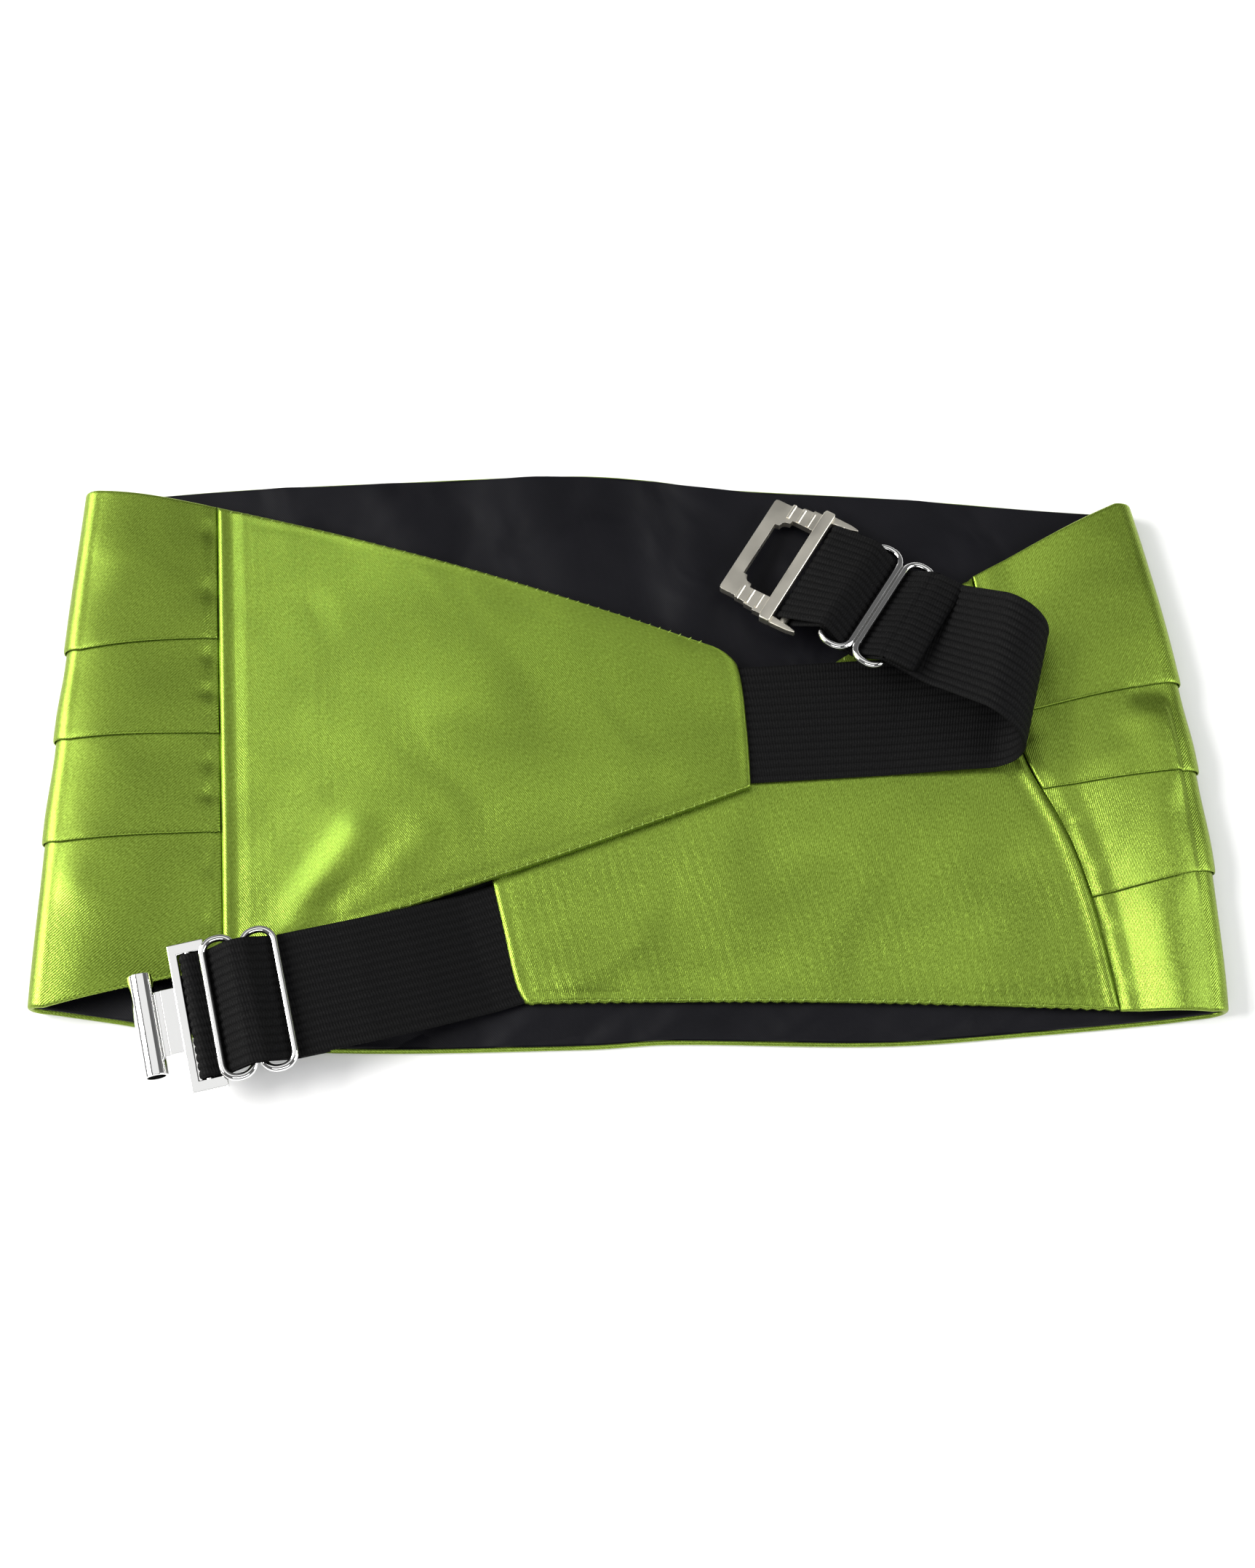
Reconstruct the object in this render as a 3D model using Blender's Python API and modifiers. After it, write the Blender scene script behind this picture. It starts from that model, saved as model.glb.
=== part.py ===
"""A satin cummerbund folded flat, its lining up, with elastic straps, wire slides, a T-hook and its buckle.

Lengths below are in millimetres and MM turns them into the metres of the meshes. X runs to the right
along the front, Y away from the near edge, Z up from the surface that the piece lies on.
"""

import math

import bmesh
import bpy
from mathutils import Matrix, Vector

MM = 0.001
SEAM_GAP = 0.3

# cloth
SATIN_WALL = 1.6
PLEAT_LOW = 1.2
PLEAT_STEP = 0.8
LINING_WALL = 1.0
LINING_INSET = 0.006
LINING_COLUMNS = 12
FOLD_INNER_RADIUS = 3.0
FLAP_BULGE = 1.1
FLAP_BULGE_REACH = 0.62
WING_WALL = 2.0
ELASTIC_WIDTH = 30.5
ELASTIC_WALL = 1.0

# hardware
SLIDE_LENGTH = 36.0
SLIDE_WIDTH = 19.2
WIRE = 1.8
SLIDE_CORNER = 3.6
CROSSBAR_RADIUS = 1.0

# heights that the layers stack up to
LINING_TOP = SATIN_WALL + SEAM_GAP + LINING_WALL
FLAP_FLOOR = LINING_TOP + SEAM_GAP + LINING_WALL + SEAM_GAP
WING_FLOOR = LINING_TOP + SEAM_GAP
UPPER_WING_FLOOR = WING_FLOOR + WING_WALL + SEAM_GAP
FOLD_RADIUS = FOLD_INNER_RADIUS + SATIN_WALL
FLAP_AT_FOLD = SATIN_WALL + 2 * FOLD_INNER_RADIUS

# The middle of the whole outline, which is put over the origin.
MIDDLE = Vector((0.1, 3.2, 0))

# The outline of the front as it lies, between the folds.
FAR_EDGE = [
    # x, y
    (-118, 79.6),
    (-95, 81.5),
    (-60, 83.3),
    (-14, 85.2),
    (5, 84.0),
    (22, 81.6),
    (70, 78.6),
    (106, 75.4),
]
NEAR_EDGE = [
    # x, y
    (-120, -60.0),
    (-100, -63.6),
    (-72, -66.6),
    (-10, -65.8),
    (10, -64.6),
    (62, -65.0),
    (98, -62.4),
    (128, -59.6),
]

# Each fold's outermost line from its far to its near end, how far it bows out, and which way is inward.
FOLDS = {
    "left": {"far": (-138.9, 77.8), "near": (-143.8, -57.0), "bow": 0.8, "inward": 1},
    "right": {"far": (128.6, 74.6), "near": (144.0, -57.6), "bow": 3.9, "inward": -1},
}

# Each seam between the front and a wing.
SEAMS = {
    # share of its length from the far end, x, y
    "left": [
        (0.0, -105.3, 74.6),
        (0.35, -102.6, 31.4),
        (0.7, -99.8, -11.0),
        (1.0, -97.6, -46.6),
    ],
    "right": [
        (0.0, 87.6, 55.4),
        (0.2, 91.8, 31.6),
        (0.42, 98.6, 7.1),
        (0.6, 107.4, -12.0),
        (0.76, 113.0, -30.0),
        (1.0, 118.1, -57.3),
    ],
}

# The pleats' lower edges on each side, as shares of the height from the far edge.
PLEATS_AT_FOLD = {"left": (0.325, 0.500, 0.696), "right": (0.374, 0.549, 0.742)}
PLEATS_AT_SEAM = {"left": (0.293, 0.499, 0.712), "right": (0.322, 0.500, 0.752)}

# The end of each wing, with its far corner rounded.
WING_TIPS = {
    # share from the far end, x, y
    "left": [
        (0.0, 20.4, 36.0),
        (0.06, 24.6, 33.9),
        (0.14, 27.6, 30.2),
        (0.5, 29.6, 14.0),
        (1.0, 30.4, -1.6),
    ],
    "right": [
        (0.0, -33.2, -24.0),
        (0.4, -30.2, -36.6),
        (0.85, -26.8, -51.0),
        (1.0, -24.4, -55.7),
    ],
}

# How far each wing's far and near edge bow towards the far side, off the straight line from seam to tip.
WING_BOW = {"left": (2.4, -1.2), "right": (0.4, 1.3)}

# Each wing's underside rises by this much, between these shares of its length from the seam.
WING_RISE = {"left": (0.34, 0.5, UPPER_WING_FLOOR - WING_FLOOR), "right": (0.0, 1.0, 0.0)}


# ---------------------------------------------------------------- numbers and curves


def blend(a, b, share):
    return a + (b - a) * share


def along(rows, x):
    """The value at x of a table of (x, value...) rows, on a smooth curve through them."""
    last = len(rows) - 1
    i = 0
    while i < last - 1 and x > rows[i + 1][0]:
        i += 1
    width = rows[i + 1][0] - rows[i][0]
    share = min(max((x - rows[i][0]) / width, 0.0), 1.0)
    values = []
    for column in range(1, len(rows[0])):
        slopes = []
        for k in (i, i + 1):
            before = rows[max(k - 1, 0)]
            after = rows[min(k + 1, last)]
            slopes.append((after[column] - before[column]) / (after[0] - before[0]) * width)
        a = rows[i][column]
        b = rows[i + 1][column]
        h2 = share * share
        h3 = h2 * share
        value = a * (2 * h3 - 3 * h2 + 1) + slopes[0] * (h3 - 2 * h2 + share)
        values.append(value + b * (3 * h2 - 2 * h3) + slopes[1] * (h3 - h2))
    return values


def ease(share):
    share = min(max(share, 0.0), 1.0)
    return share * share * (3 - 2 * share)


def plan(angle):
    """The flat unit vector that points along an angle in degrees."""
    return Vector((math.cos(math.radians(angle)), math.sin(math.radians(angle)), 0))


# ---------------------------------------------------------------- Blender helpers


def clear_scene():
    for item in list(bpy.data.objects):
        bpy.data.objects.remove(item, do_unlink=True)


def make_collection(name):
    made = bpy.data.collections.new(name)
    bpy.context.scene.collection.children.link(made)
    return made


def make_material(name, colour, roughness, metallic):
    made = bpy.data.materials.new(name)
    made.use_nodes = True
    surface = made.node_tree.nodes["Principled BSDF"]
    surface.inputs["Base Color"].default_value = (*colour, 1)
    surface.inputs["Roughness"].default_value = roughness
    surface.inputs["Metallic"].default_value = metallic
    made.diffuse_color = (*colour, 1)
    return made


def object_from_bmesh(name, bm, material, collection, smooth_angle=35):
    mesh = bpy.data.meshes.new(name)
    bmesh.ops.recalc_face_normals(bm, faces=bm.faces[:])
    if bm.calc_volume(signed=True) < 0:
        bmesh.ops.reverse_faces(bm, faces=bm.faces[:])
    bm.to_mesh(mesh)
    bm.free()
    mesh.materials.append(material)
    mesh.shade_smooth()
    mesh.set_sharp_from_angle(angle=math.radians(smooth_angle))
    made = bpy.data.objects.new(name, mesh)
    collection.objects.link(made)
    return made


def cloth_wall(name, faces, material, collection):
    """A closed wall between two equal grids of points in millimetres, an inner and an outer one."""
    inner, outer = faces
    rows = len(inner) - 1
    columns = len(inner[0]) - 1
    bm = bmesh.new()
    bmesh.ops.create_grid(bm, x_segments=rows, y_segments=columns, size=1)
    low = min(v.co.x for v in bm.verts)
    span = max(v.co.x for v in bm.verts) - low
    inner_verts = set(bm.verts)
    bmesh.ops.extrude_face_region(bm, geom=bm.faces[:])
    for vert in bm.verts:
        row = round((vert.co.x - low) / span * rows)
        column = round((vert.co.y - low) / span * columns)
        side = inner if vert in inner_verts else outer
        vert.co = (Vector(side[row][column]) - MIDDLE) * MM
    return object_from_bmesh(name, bm, material, collection)


def mesh_from_curve(curve_object):
    """Turns a curve object into a mesh object in the same place, its caps welded."""
    graph = bpy.context.evaluated_depsgraph_get()
    mesh = bpy.data.meshes.new_from_object(curve_object.evaluated_get(graph))
    bm = bmesh.new()
    bm.from_mesh(mesh)
    bmesh.ops.remove_doubles(bm, verts=bm.verts[:], dist=0.00001)
    bmesh.ops.recalc_face_normals(bm, faces=bm.faces[:])
    bm.to_mesh(mesh)
    bm.free()
    made = bpy.data.objects.new(curve_object.name + "_mesh", mesh)
    made.matrix_world = curve_object.matrix_world
    for user in curve_object.users_collection:
        user.objects.link(made)
    bpy.data.objects.remove(curve_object, do_unlink=True)
    return made


def plate(name, outlines, low, high, collection):
    """A flat plate between two heights, from closed outlines in the plan; the inner ones are holes."""
    curve = bpy.data.curves.new(name, "CURVE")
    curve.dimensions = "2D"
    curve.fill_mode = "BOTH"
    curve.extrude = (high - low) / 2 * MM
    for outline in outlines:
        spline = curve.splines.new("POLY")
        spline.points.add(len(outline) - 1)
        for point, (x, y) in zip(spline.points, outline):
            point.co = (x * MM, y * MM, 0, 1)
        spline.use_cyclic_u = True
    flat = bpy.data.objects.new(name, curve)
    flat.location.z = (high + low) / 2 * MM
    collection.objects.link(flat)
    bpy.context.view_layer.update()
    return mesh_from_curve(flat)


def bar(name, radius, length, centre, collection, sides=16):
    """A round bar along Y."""
    bm = bmesh.new()
    turn = Matrix.Translation(Vector(centre) * MM) @ Matrix.Rotation(math.pi / 2, 4, "X")
    radius = radius * MM
    bmesh.ops.create_cone(
        bm, cap_ends=True, segments=sides, radius1=radius, radius2=radius, depth=length * MM, matrix=turn
    )
    mesh = bpy.data.meshes.new(name)
    bm.to_mesh(mesh)
    bm.free()
    made = bpy.data.objects.new(name, mesh)
    collection.objects.link(made)
    return made


def block(name, low, high, collection):
    """A box between two corners."""
    bm = bmesh.new()
    middle = (Vector(low) + Vector(high)) / 2 * MM
    size = (Vector(high) - Vector(low)) * MM
    scale = Matrix.Diagonal((*size, 1))
    bmesh.ops.create_cube(bm, size=1, matrix=Matrix.Translation(middle) @ scale)
    mesh = bpy.data.meshes.new(name)
    bm.to_mesh(mesh)
    bm.free()
    made = bpy.data.objects.new(name, mesh)
    collection.objects.link(made)
    return made


def apply_boolean(target, tool, operation):
    modifier = target.modifiers.new(operation.title(), "BOOLEAN")
    modifier.operation = operation
    modifier.solver = "EXACT"
    modifier.object = tool
    graph = bpy.context.evaluated_depsgraph_get()
    mesh = bpy.data.meshes.new_from_object(target.evaluated_get(graph))
    target.modifiers.clear()
    target.data = mesh
    bpy.data.objects.remove(tool, do_unlink=True)


def finish_casting(name, pieces, cuts, bevel, material, collection):
    """Joins the pieces, cuts the holes, rounds the edges and gives one named object."""
    body = pieces[0]
    for piece in pieces[1:]:
        apply_boolean(body, piece, "UNION")
    for cut in cuts:
        apply_boolean(body, cut, "DIFFERENCE")
    bm = bmesh.new()
    bm.from_mesh(body.data)
    bmesh.ops.dissolve_limit(bm, angle_limit=math.radians(1), verts=bm.verts[:], edges=bm.edges[:])
    bmesh.ops.remove_doubles(bm, verts=bm.verts[:], dist=0.00002)
    bmesh.ops.triangulate(bm, faces=bm.faces[:])
    bpy.data.objects.remove(body, do_unlink=True)
    made = object_from_bmesh(name, bm, material, collection)
    if bevel:
        rounding = made.modifiers.new("Bevel", "BEVEL")
        rounding.width = bevel * MM
        rounding.segments = 1
        rounding.limit_method = "ANGLE"
        rounding.angle_limit = math.radians(50)
    return made


# ---------------------------------------------------------------- the pleated front and its lining


def fold_line(side, share):
    """A fold's outermost point at a share of the height, and the flat direction inward from it."""
    fold = FOLDS[side]
    far = Vector((*fold["far"], 0))
    near = Vector((*fold["near"], 0))
    down = (near - far).normalized()
    inward = Vector((-down.y, down.x, 0)) * fold["inward"]
    bow = fold["bow"] * 4 * share * (1 - share)
    return far.lerp(near, share) - inward * bow, inward


def seam_point(side, share):
    return Vector((*along(SEAMS[side], min(max(share, 0.0), 1.0)), 0))


def front_point(share, station):
    """The satin's inner face and its outward direction at a station along the strip."""
    kind, side, value = station
    if kind == "flat":
        left, left_inward = fold_line("left", share)
        right, right_inward = fold_line("right", share)
        start = left + left_inward * FOLD_RADIUS
        end = right + right_inward * FOLD_RADIUS
        edges = []
        for table, edge_share in ((FAR_EDGE, 0), (NEAR_EDGE, 1)):
            first, first_inward = fold_line("left", edge_share)
            last, last_inward = fold_line("right", edge_share)
            first = first + first_inward * FOLD_RADIUS
            last = last + last_inward * FOLD_RADIUS
            x = blend(first.x, last.x, value)
            rows = [(first.x, first.y), *table, (last.x, last.y)]
            edges.append(along(rows, x)[0])
        y = blend(edges[0], edges[1], share)
        return Vector((blend(start.x, end.x, value), y, SATIN_WALL)), Vector((0, 0, -1))
    edge, inward = fold_line(side, share)
    centre = edge + inward * FOLD_RADIUS
    if kind == "turn":
        angle = math.radians(value)
        outward = inward * -math.sin(angle) + Vector((0, 0, -math.cos(angle)))
        return centre + Vector((0, 0, FOLD_RADIUS)) + outward * FOLD_INNER_RADIUS, outward
    seam = seam_point(side, share)
    flat = centre.lerp(seam, value)
    bulge = FLAP_BULGE * math.sin(math.pi * min(value / FLAP_BULGE_REACH, 1.0))
    flat.z = blend(FLAP_AT_FOLD, FLAP_FLOOR, ease(value)) + bulge
    return flat, Vector((0, 0, 1))


def front_stations():
    """Every station of the strip from the left seam round to the right one."""
    turn_steps = [180 - 22.5 * i for i in range(9)]
    flap_steps = [1.0, 0.8, 0.6, 0.42, 0.26, 0.12]
    flat_steps = 14
    stations = [("flap", "left", value) for value in flap_steps]
    stations += [("turn", "left", value) for value in turn_steps]
    stations += [("flat", None, (i + 1) / flat_steps) for i in range(flat_steps - 1)]
    stations += [("turn", "right", value) for value in reversed(turn_steps)]
    stations += [("flap", "right", value) for value in reversed(flap_steps)]
    return stations


def pleat_fade(station):
    """How much of the pleats' step stands out: all of it on top, none where the front rests."""
    kind, _, value = station
    if kind == "flap":
        return 1.0
    if kind == "turn":
        return ease((value - 20) / 70)
    return 0.0


def pleat_shares(station):
    """The shares of the height at which the three pleats end, at this station."""
    kind, side, value = station
    if kind == "flat":
        left = Vector(PLEATS_AT_FOLD["left"])
        return left.lerp(Vector(PLEATS_AT_FOLD["right"]), value)
    folded = Vector(PLEATS_AT_FOLD[side])
    return folded.lerp(Vector(PLEATS_AT_SEAM[side]), value if kind == "flap" else 0.0)


PLEAT_EDGE_RUN = 0.006
BAND_POINTS = 3

# The wall of each band at its far and its near edge, where it laps the next band.
BAND_WALLS = [
    (SATIN_WALL, PLEAT_LOW + PLEAT_STEP),
    (PLEAT_LOW, PLEAT_LOW + PLEAT_STEP),
    (PLEAT_LOW, PLEAT_LOW + PLEAT_STEP),
    (PLEAT_LOW, SATIN_WALL),
]


def pleated_columns(station):
    """The (share, wall thickness) of each point across the strip: four bands, each lapping the next."""
    bounds = [0.0, *pleat_shares(station), 1.0]
    fade = pleat_fade(station)
    columns = []
    for band in range(4):
        low = bounds[band] + (PLEAT_EDGE_RUN if band else 0.0)
        high = bounds[band + 1]
        for i in range(BAND_POINTS + 1):
            part = i / BAND_POINTS
            thickness = blend(*BAND_WALLS[band], ease(part))
            columns.append((blend(low, high, part), blend(SATIN_WALL, thickness, fade)))
    return columns


def front_faces():
    inner = []
    outer = []
    for station in front_stations():
        inner_row = []
        outer_row = []
        for share, thickness in pleated_columns(station):
            point, outward = front_point(share, station)
            inner_row.append(point)
            outer_row.append(point + outward * thickness)
        inner.append(inner_row)
        outer.append(outer_row)
    return inner, outer


def lining_faces():
    """The lining follows the satin's inner face all the way, a seam's gap inside it."""
    shares = [blend(LINING_INSET, 1 - LINING_INSET, i / LINING_COLUMNS) for i in range(LINING_COLUMNS + 1)]
    inner = []
    outer = []
    for station in front_stations():
        rows = [front_point(share, station) for share in shares]
        outer.append([point - outward * SEAM_GAP for point, outward in rows])
        inner.append([point - outward * (SEAM_GAP + LINING_WALL) for point, outward in rows])
    return inner, outer


# ---------------------------------------------------------------- the wings


def wing_faces(side):
    """A wing from its seam to its tip, a seam's gap away from the front."""
    shares = [0.0, 0.06, 0.14, 0.22, 0.3, 0.4, 0.5, 0.6, 0.68, 0.76, 0.84, 0.92, 1.0]
    steps = [0.0, 0.12, 0.24, 0.34, 0.38, 0.42, 0.46, 0.5, 0.62, 0.76, 0.9, 1.0]
    far_bow, near_bow = WING_BOW[side]
    rise_from, rise_to, rise = WING_RISE[side]
    upward = Vector((0, 0, 1))
    under = []
    over = []
    for step in steps:
        height = WING_FLOOR + rise * ease((step - rise_from) / (rise_to - rise_from))
        row = []
        for share in shares:
            seam = seam_point(side, share)
            tip = Vector((*along(WING_TIPS[side], share), 0))
            run = seam_point(side, share + 0.01) - seam_point(side, share - 0.01)
            across = run.cross(upward).normalized()
            if across.dot(tip - seam) < 0:
                across.negate()
            start = seam + across * SEAM_GAP
            bow = blend(far_bow, near_bow, share) * 4 * step * (1 - step)
            point = start.lerp(tip, step) - run.normalized() * bow
            point.z = height
            row.append(point)
        under.append(row)
        over.append([point + Vector((0, 0, WING_WALL)) for point in row])
    return under, over


# ---------------------------------------------------------------- belts round bars


def belt(stops, arc_step=24):
    """The middle line of a belt in its side view, round a list of bars.

    A stop is (distance, height, reach): reach is how far the belt's middle passes from the bar's
    centre, positive where the bar is to the left of the belt's way and negative where it is to the
    right. A stop with reach 0 is a point that the belt passes through. A fourth value sets in how
    many steps the belt goes round. Gives (distance, height, heading) for each point, in degrees.
    """
    runs = []
    for (x1, y1, r1, *_), (x2, y2, r2, *_) in zip(stops, stops[1:]):
        gap = math.hypot(x2 - x1, y2 - y1)
        heading = math.atan2(y2 - y1, x2 - x1) - math.asin((r2 - r1) / gap)
        left = (-math.sin(heading), math.cos(heading))
        start = (x1 - r1 * left[0], y1 - r1 * left[1])
        end = (x2 - r2 * left[0], y2 - r2 * left[1])
        runs.append((heading, start, end))
    line = [(*runs[0][1], math.degrees(runs[0][0]))]
    for i, (heading, _, end) in enumerate(runs):
        line.append((*end, math.degrees(heading)))
        if i + 1 == len(runs):
            break
        x, y, reach, *set_steps = stops[i + 1]
        if reach == 0:
            continue
        way = math.copysign(1, reach)
        turn = way * ((way * (runs[i + 1][0] - heading) + 0.001) % (2 * math.pi) - 0.001)
        steps = set_steps[0] if set_steps else max(1, math.ceil(abs(math.degrees(turn)) / arc_step))
        for k in range(1, steps + 1):
            angle = heading + turn * k / steps
            line.append((x + reach * math.sin(angle), y - reach * math.cos(angle), math.degrees(angle)))
    return line


OUTER_BAR = (SLIDE_WIDTH - WIRE) / 2
MIDDLE_BAR = WIRE / 2 - 0.05
NEAR_LAYER = WIRE / 2 + SEAM_GAP + ELASTIC_WALL / 2
FAR_LAYER = NEAR_LAYER + ELASTIC_WALL + SEAM_GAP
WRAP = CROSSBAR_RADIUS + SEAM_GAP + ELASTIC_WALL / 2
TAB_LENGTH = 16.5
TAB_LIFT = 0.6


def threaded_belt(crossbar, before):
    """The elastic's side view from before the slide, through it, round the crossbar and back through it.

    The slide's middle is at (0, 0). The elastic goes under the outer bars and over the middle ones,
    round the crossbar from above, and back below itself to a tab that ends past the slide.
    """
    stops = [
        *before,
        (-OUTER_BAR, 0, NEAR_LAYER),
        (-MIDDLE_BAR, 0, -FAR_LAYER),
        (MIDDLE_BAR, 0, -FAR_LAYER),
        (OUTER_BAR, 0, NEAR_LAYER),
        (*crossbar, -WRAP),
        (OUTER_BAR, 0, -FAR_LAYER),
        (MIDDLE_BAR, 0, NEAR_LAYER),
        (-MIDDLE_BAR, 0, NEAR_LAYER),
        (-OUTER_BAR, 0, -FAR_LAYER),
        (-TAB_LENGTH, -FAR_LAYER - TAB_LIFT, 0),
    ]
    return belt(stops)


def strip_faces(places, width, wall, columns=4):
    """The two faces of a strip: places is a function of the sideways distance that gives a row of
    (middle point, outward direction) along the strip."""
    inner = []
    outer = []
    lines = [places(blend(width / 2, -width / 2, i / columns)) for i in range(columns + 1)]
    for row in zip(*lines):
        inner.append([point - outward * wall / 2 for point, outward in row])
        outer.append([point + outward * wall / 2 for point, outward in row])
    return inner, outer


# ---------------------------------------------------------------- where each strap runs

HOOK_STRAP = {
    "start": (-30.6, -41.1),
    "start_height": WING_FLOOR + WING_WALL / 2,
    "climb": [(0, 0), (6, 0.3), (20, 3.5), (34, 5.6)],
    "start_heading": 198.0,
    "end_heading": 193.0,
    "slide_at": 61.2,
    "slide_height": 12.8,
    "crossbar": (12.3, -2.35),
    "hardware_tilt": 0.0,
}
BUCKLE_STRAP = {
    "start": (30.3, 15.1),
    "start_height": UPPER_WING_FLOOR + ELASTIC_WALL / 2,
    "start_heading": 3.5,
    "fold_heading": 76.5,
    "loop_edge": 93.0,
    "loop_radius": 7.8,
    "loop_flare": 0.0,
    "loop_steps": 12,
    "rise_from": 62.0,
    "rise_to": 80.0,
    "rise": 1.2,
    "settle_at": 64.2,
    "settle_radius": 9.0,
    "settle_steps": 2,
    "slide_height": 10.6,
    "slide_at": 126.0,
    "threaded_from": 13.0,
    "crossbar": (18.4, 2.6),
    "hardware_tilt": 5.0,
    "roll_at_slide": 14.0,
    "roll_at_buckle": 6.0,
}


def hook_strap_line():
    """The side view from the wing's tip, the slide's middle at distance 0."""
    run = HOOK_STRAP
    rest = run["start_height"] - run["slide_height"]
    before = [(distance - run["slide_at"], rest + height, 0) for distance, height in run["climb"]]
    return threaded_belt(run["crossbar"], before)


def hook_strap_plan(distance):
    """The strap's place and heading in the plan at a distance from the slide's middle."""
    run = HOOK_STRAP
    bend_end = run["slide_at"] - 14
    steps = 24
    place = Vector((*run["start"], 0))
    travelled = distance + run["slide_at"]
    step = travelled / steps
    for i in range(steps):
        heading = blend(run["start_heading"], run["end_heading"], ease((i + 0.5) * step / bend_end))
        place = place + plan(heading) * step
    heading = blend(run["start_heading"], run["end_heading"], ease(travelled / bend_end))
    return place, heading


def turned_up(heading, slope):
    """The direction square to a strip that climbs at a slope along a heading."""
    slope = math.radians(slope)
    return plan(heading) * -math.sin(slope) + Vector((0, 0, math.cos(slope)))


def hook_strap_places(sideways):
    places = []
    for distance, height, slope in hook_strap_line():
        middle, heading = hook_strap_plan(distance)
        point = middle + plan(heading + 90) * sideways
        point.z = HOOK_STRAP["slide_height"] + height
        places.append((point, turned_up(heading, slope)))
    return places


def loop_line(sideways):
    """The loop's side view, seen along its fold: out along the wing, up, over and back down."""
    run = BUCKLE_STRAP
    radius = run["loop_radius"] + run["loop_flare"] * sideways
    across = plan(run["fold_heading"] - 90)
    start = Vector((*run["start"], 0)).dot(across)
    low = run["start_height"]
    loop_centre = (run["loop_edge"] - ELASTIC_WALL / 2 - radius, low + run["rise"] + radius)
    level = run["slide_height"] + NEAR_LAYER
    return belt([
        (start, low, 0),
        (run["rise_from"], low, 0),
        (run["rise_to"], low + run["rise"], 0),
        (*loop_centre, radius, run["loop_steps"]),
        (run["settle_at"], level + run["settle_radius"], -run["settle_radius"], run["settle_steps"]),
        (run["settle_at"] - run["settle_radius"], level, 0),
    ])


def loop_places(sideways):
    """The strap from the wing's tip to where it lies level again before the slide.

    The fold is oblique to the strap, so its rows run along the fold, and only the first and the last
    row run square to the strap.
    """
    run = BUCKLE_STRAP
    line = loop_line(sideways)
    across = plan(run["fold_heading"] - 90)
    along_fold = plan(run["fold_heading"])
    skew = math.radians(run["start_heading"] - run["fold_heading"] + 90)
    origin = Vector((*run["start"], 0)).dot(along_fold)
    first, height, _ = line[0]
    square = along_fold * (origin + sideways * math.cos(skew)) + across * (first - sideways * math.sin(skew))
    places = [(square + Vector((0, 0, height)), Vector((0, 0, 1)), 0.0)]
    length = 0.0
    folded_at = None
    before = line[0]
    for distance, height, slope in line[1:]:
        length += math.hypot(distance - before[0], height - before[1])
        before = (distance, height)
        if folded_at is None and slope > 90:
            folded_at = length
        shift = origin + length * math.tan(skew) + sideways / math.cos(skew)
        point = along_fold * shift + across * distance + Vector((0, 0, height))
        past_fold = 0.0 if folded_at is None else length - folded_at
        places.append((point, turned_up(run["fold_heading"] - 90, slope), past_fold))
    places.pop()
    return places, length, before[0]


def buckle_strap_plan(distance):
    """The strap's place at a distance from the slide's middle, past the loop, and its heading."""
    run = BUCKLE_STRAP
    across = plan(run["fold_heading"] - 90)
    along_fold = plan(run["fold_heading"])
    skew = math.radians(run["start_heading"] - run["fold_heading"] + 90)
    _, length, last = loop_places(0)
    travelled = run["slide_at"] + distance
    origin = Vector((*run["start"], 0)).dot(along_fold)
    place = along_fold * (origin + travelled * math.sin(skew))
    place += across * (last + length - travelled * math.cos(skew))
    return place, 2 * run["fold_heading"] - run["start_heading"]


def roll_past_slide(distance):
    """How far the strap has rolled, far side down, at a distance past the slide's middle."""
    run = BUCKLE_STRAP
    free = run["crossbar"][0] - OUTER_BAR - 2 * WRAP
    return blend(run["roll_at_slide"], run["roll_at_buckle"], ease((distance - OUTER_BAR) / free))


def rolled(point, outward, roll):
    """A point of the strap and its outward direction, rolled about the line that the strap runs along."""
    centre, heading = buckle_strap_plan(0)
    centre.z = BUCKLE_STRAP["slide_height"]
    turn = Matrix.Rotation(math.radians(roll), 3, plan(heading))
    return centre + turn @ (point - centre), turn @ outward


def buckle_strap_places(sideways):
    """Sideways is to the left of the strap's way along the wing, so it is to the right once turned over."""
    run = BUCKLE_STRAP
    places = []
    loop, _, _ = loop_places(sideways)
    for point, outward, past_fold in loop:
        roll = run["roll_at_slide"] * ease(past_fold / loop[-1][2])
        places.append(rolled(point, outward, roll))
    before = [(-run["threaded_from"], -NEAR_LAYER, 0)]
    for distance, height, slope in threaded_belt(run["crossbar"], before):
        middle, heading = buckle_strap_plan(distance)
        point = middle - plan(heading + 90) * sideways
        point.z = run["slide_height"] - height
        places.append(rolled(point, -turned_up(heading, -slope), roll_past_slide(distance)))
    return places


# ---------------------------------------------------------------- slides, hook and buckle


def rounded_loop(low, high, half_length, corner):
    """The plan of a loop of wire: a rectangle from low to high across, its corners round."""
    centres = [(high - corner, half_length - corner, 0), (low + corner, half_length - corner, 90)]
    centres += [(low + corner, corner - half_length, 180), (high - corner, corner - half_length, 270)]
    points = []
    for x, y, first in centres:
        for i in range(5):
            offset = plan(first + 22.5 * i) * corner
            points.append((x + offset.x, y + offset.y))
    return points


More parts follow.
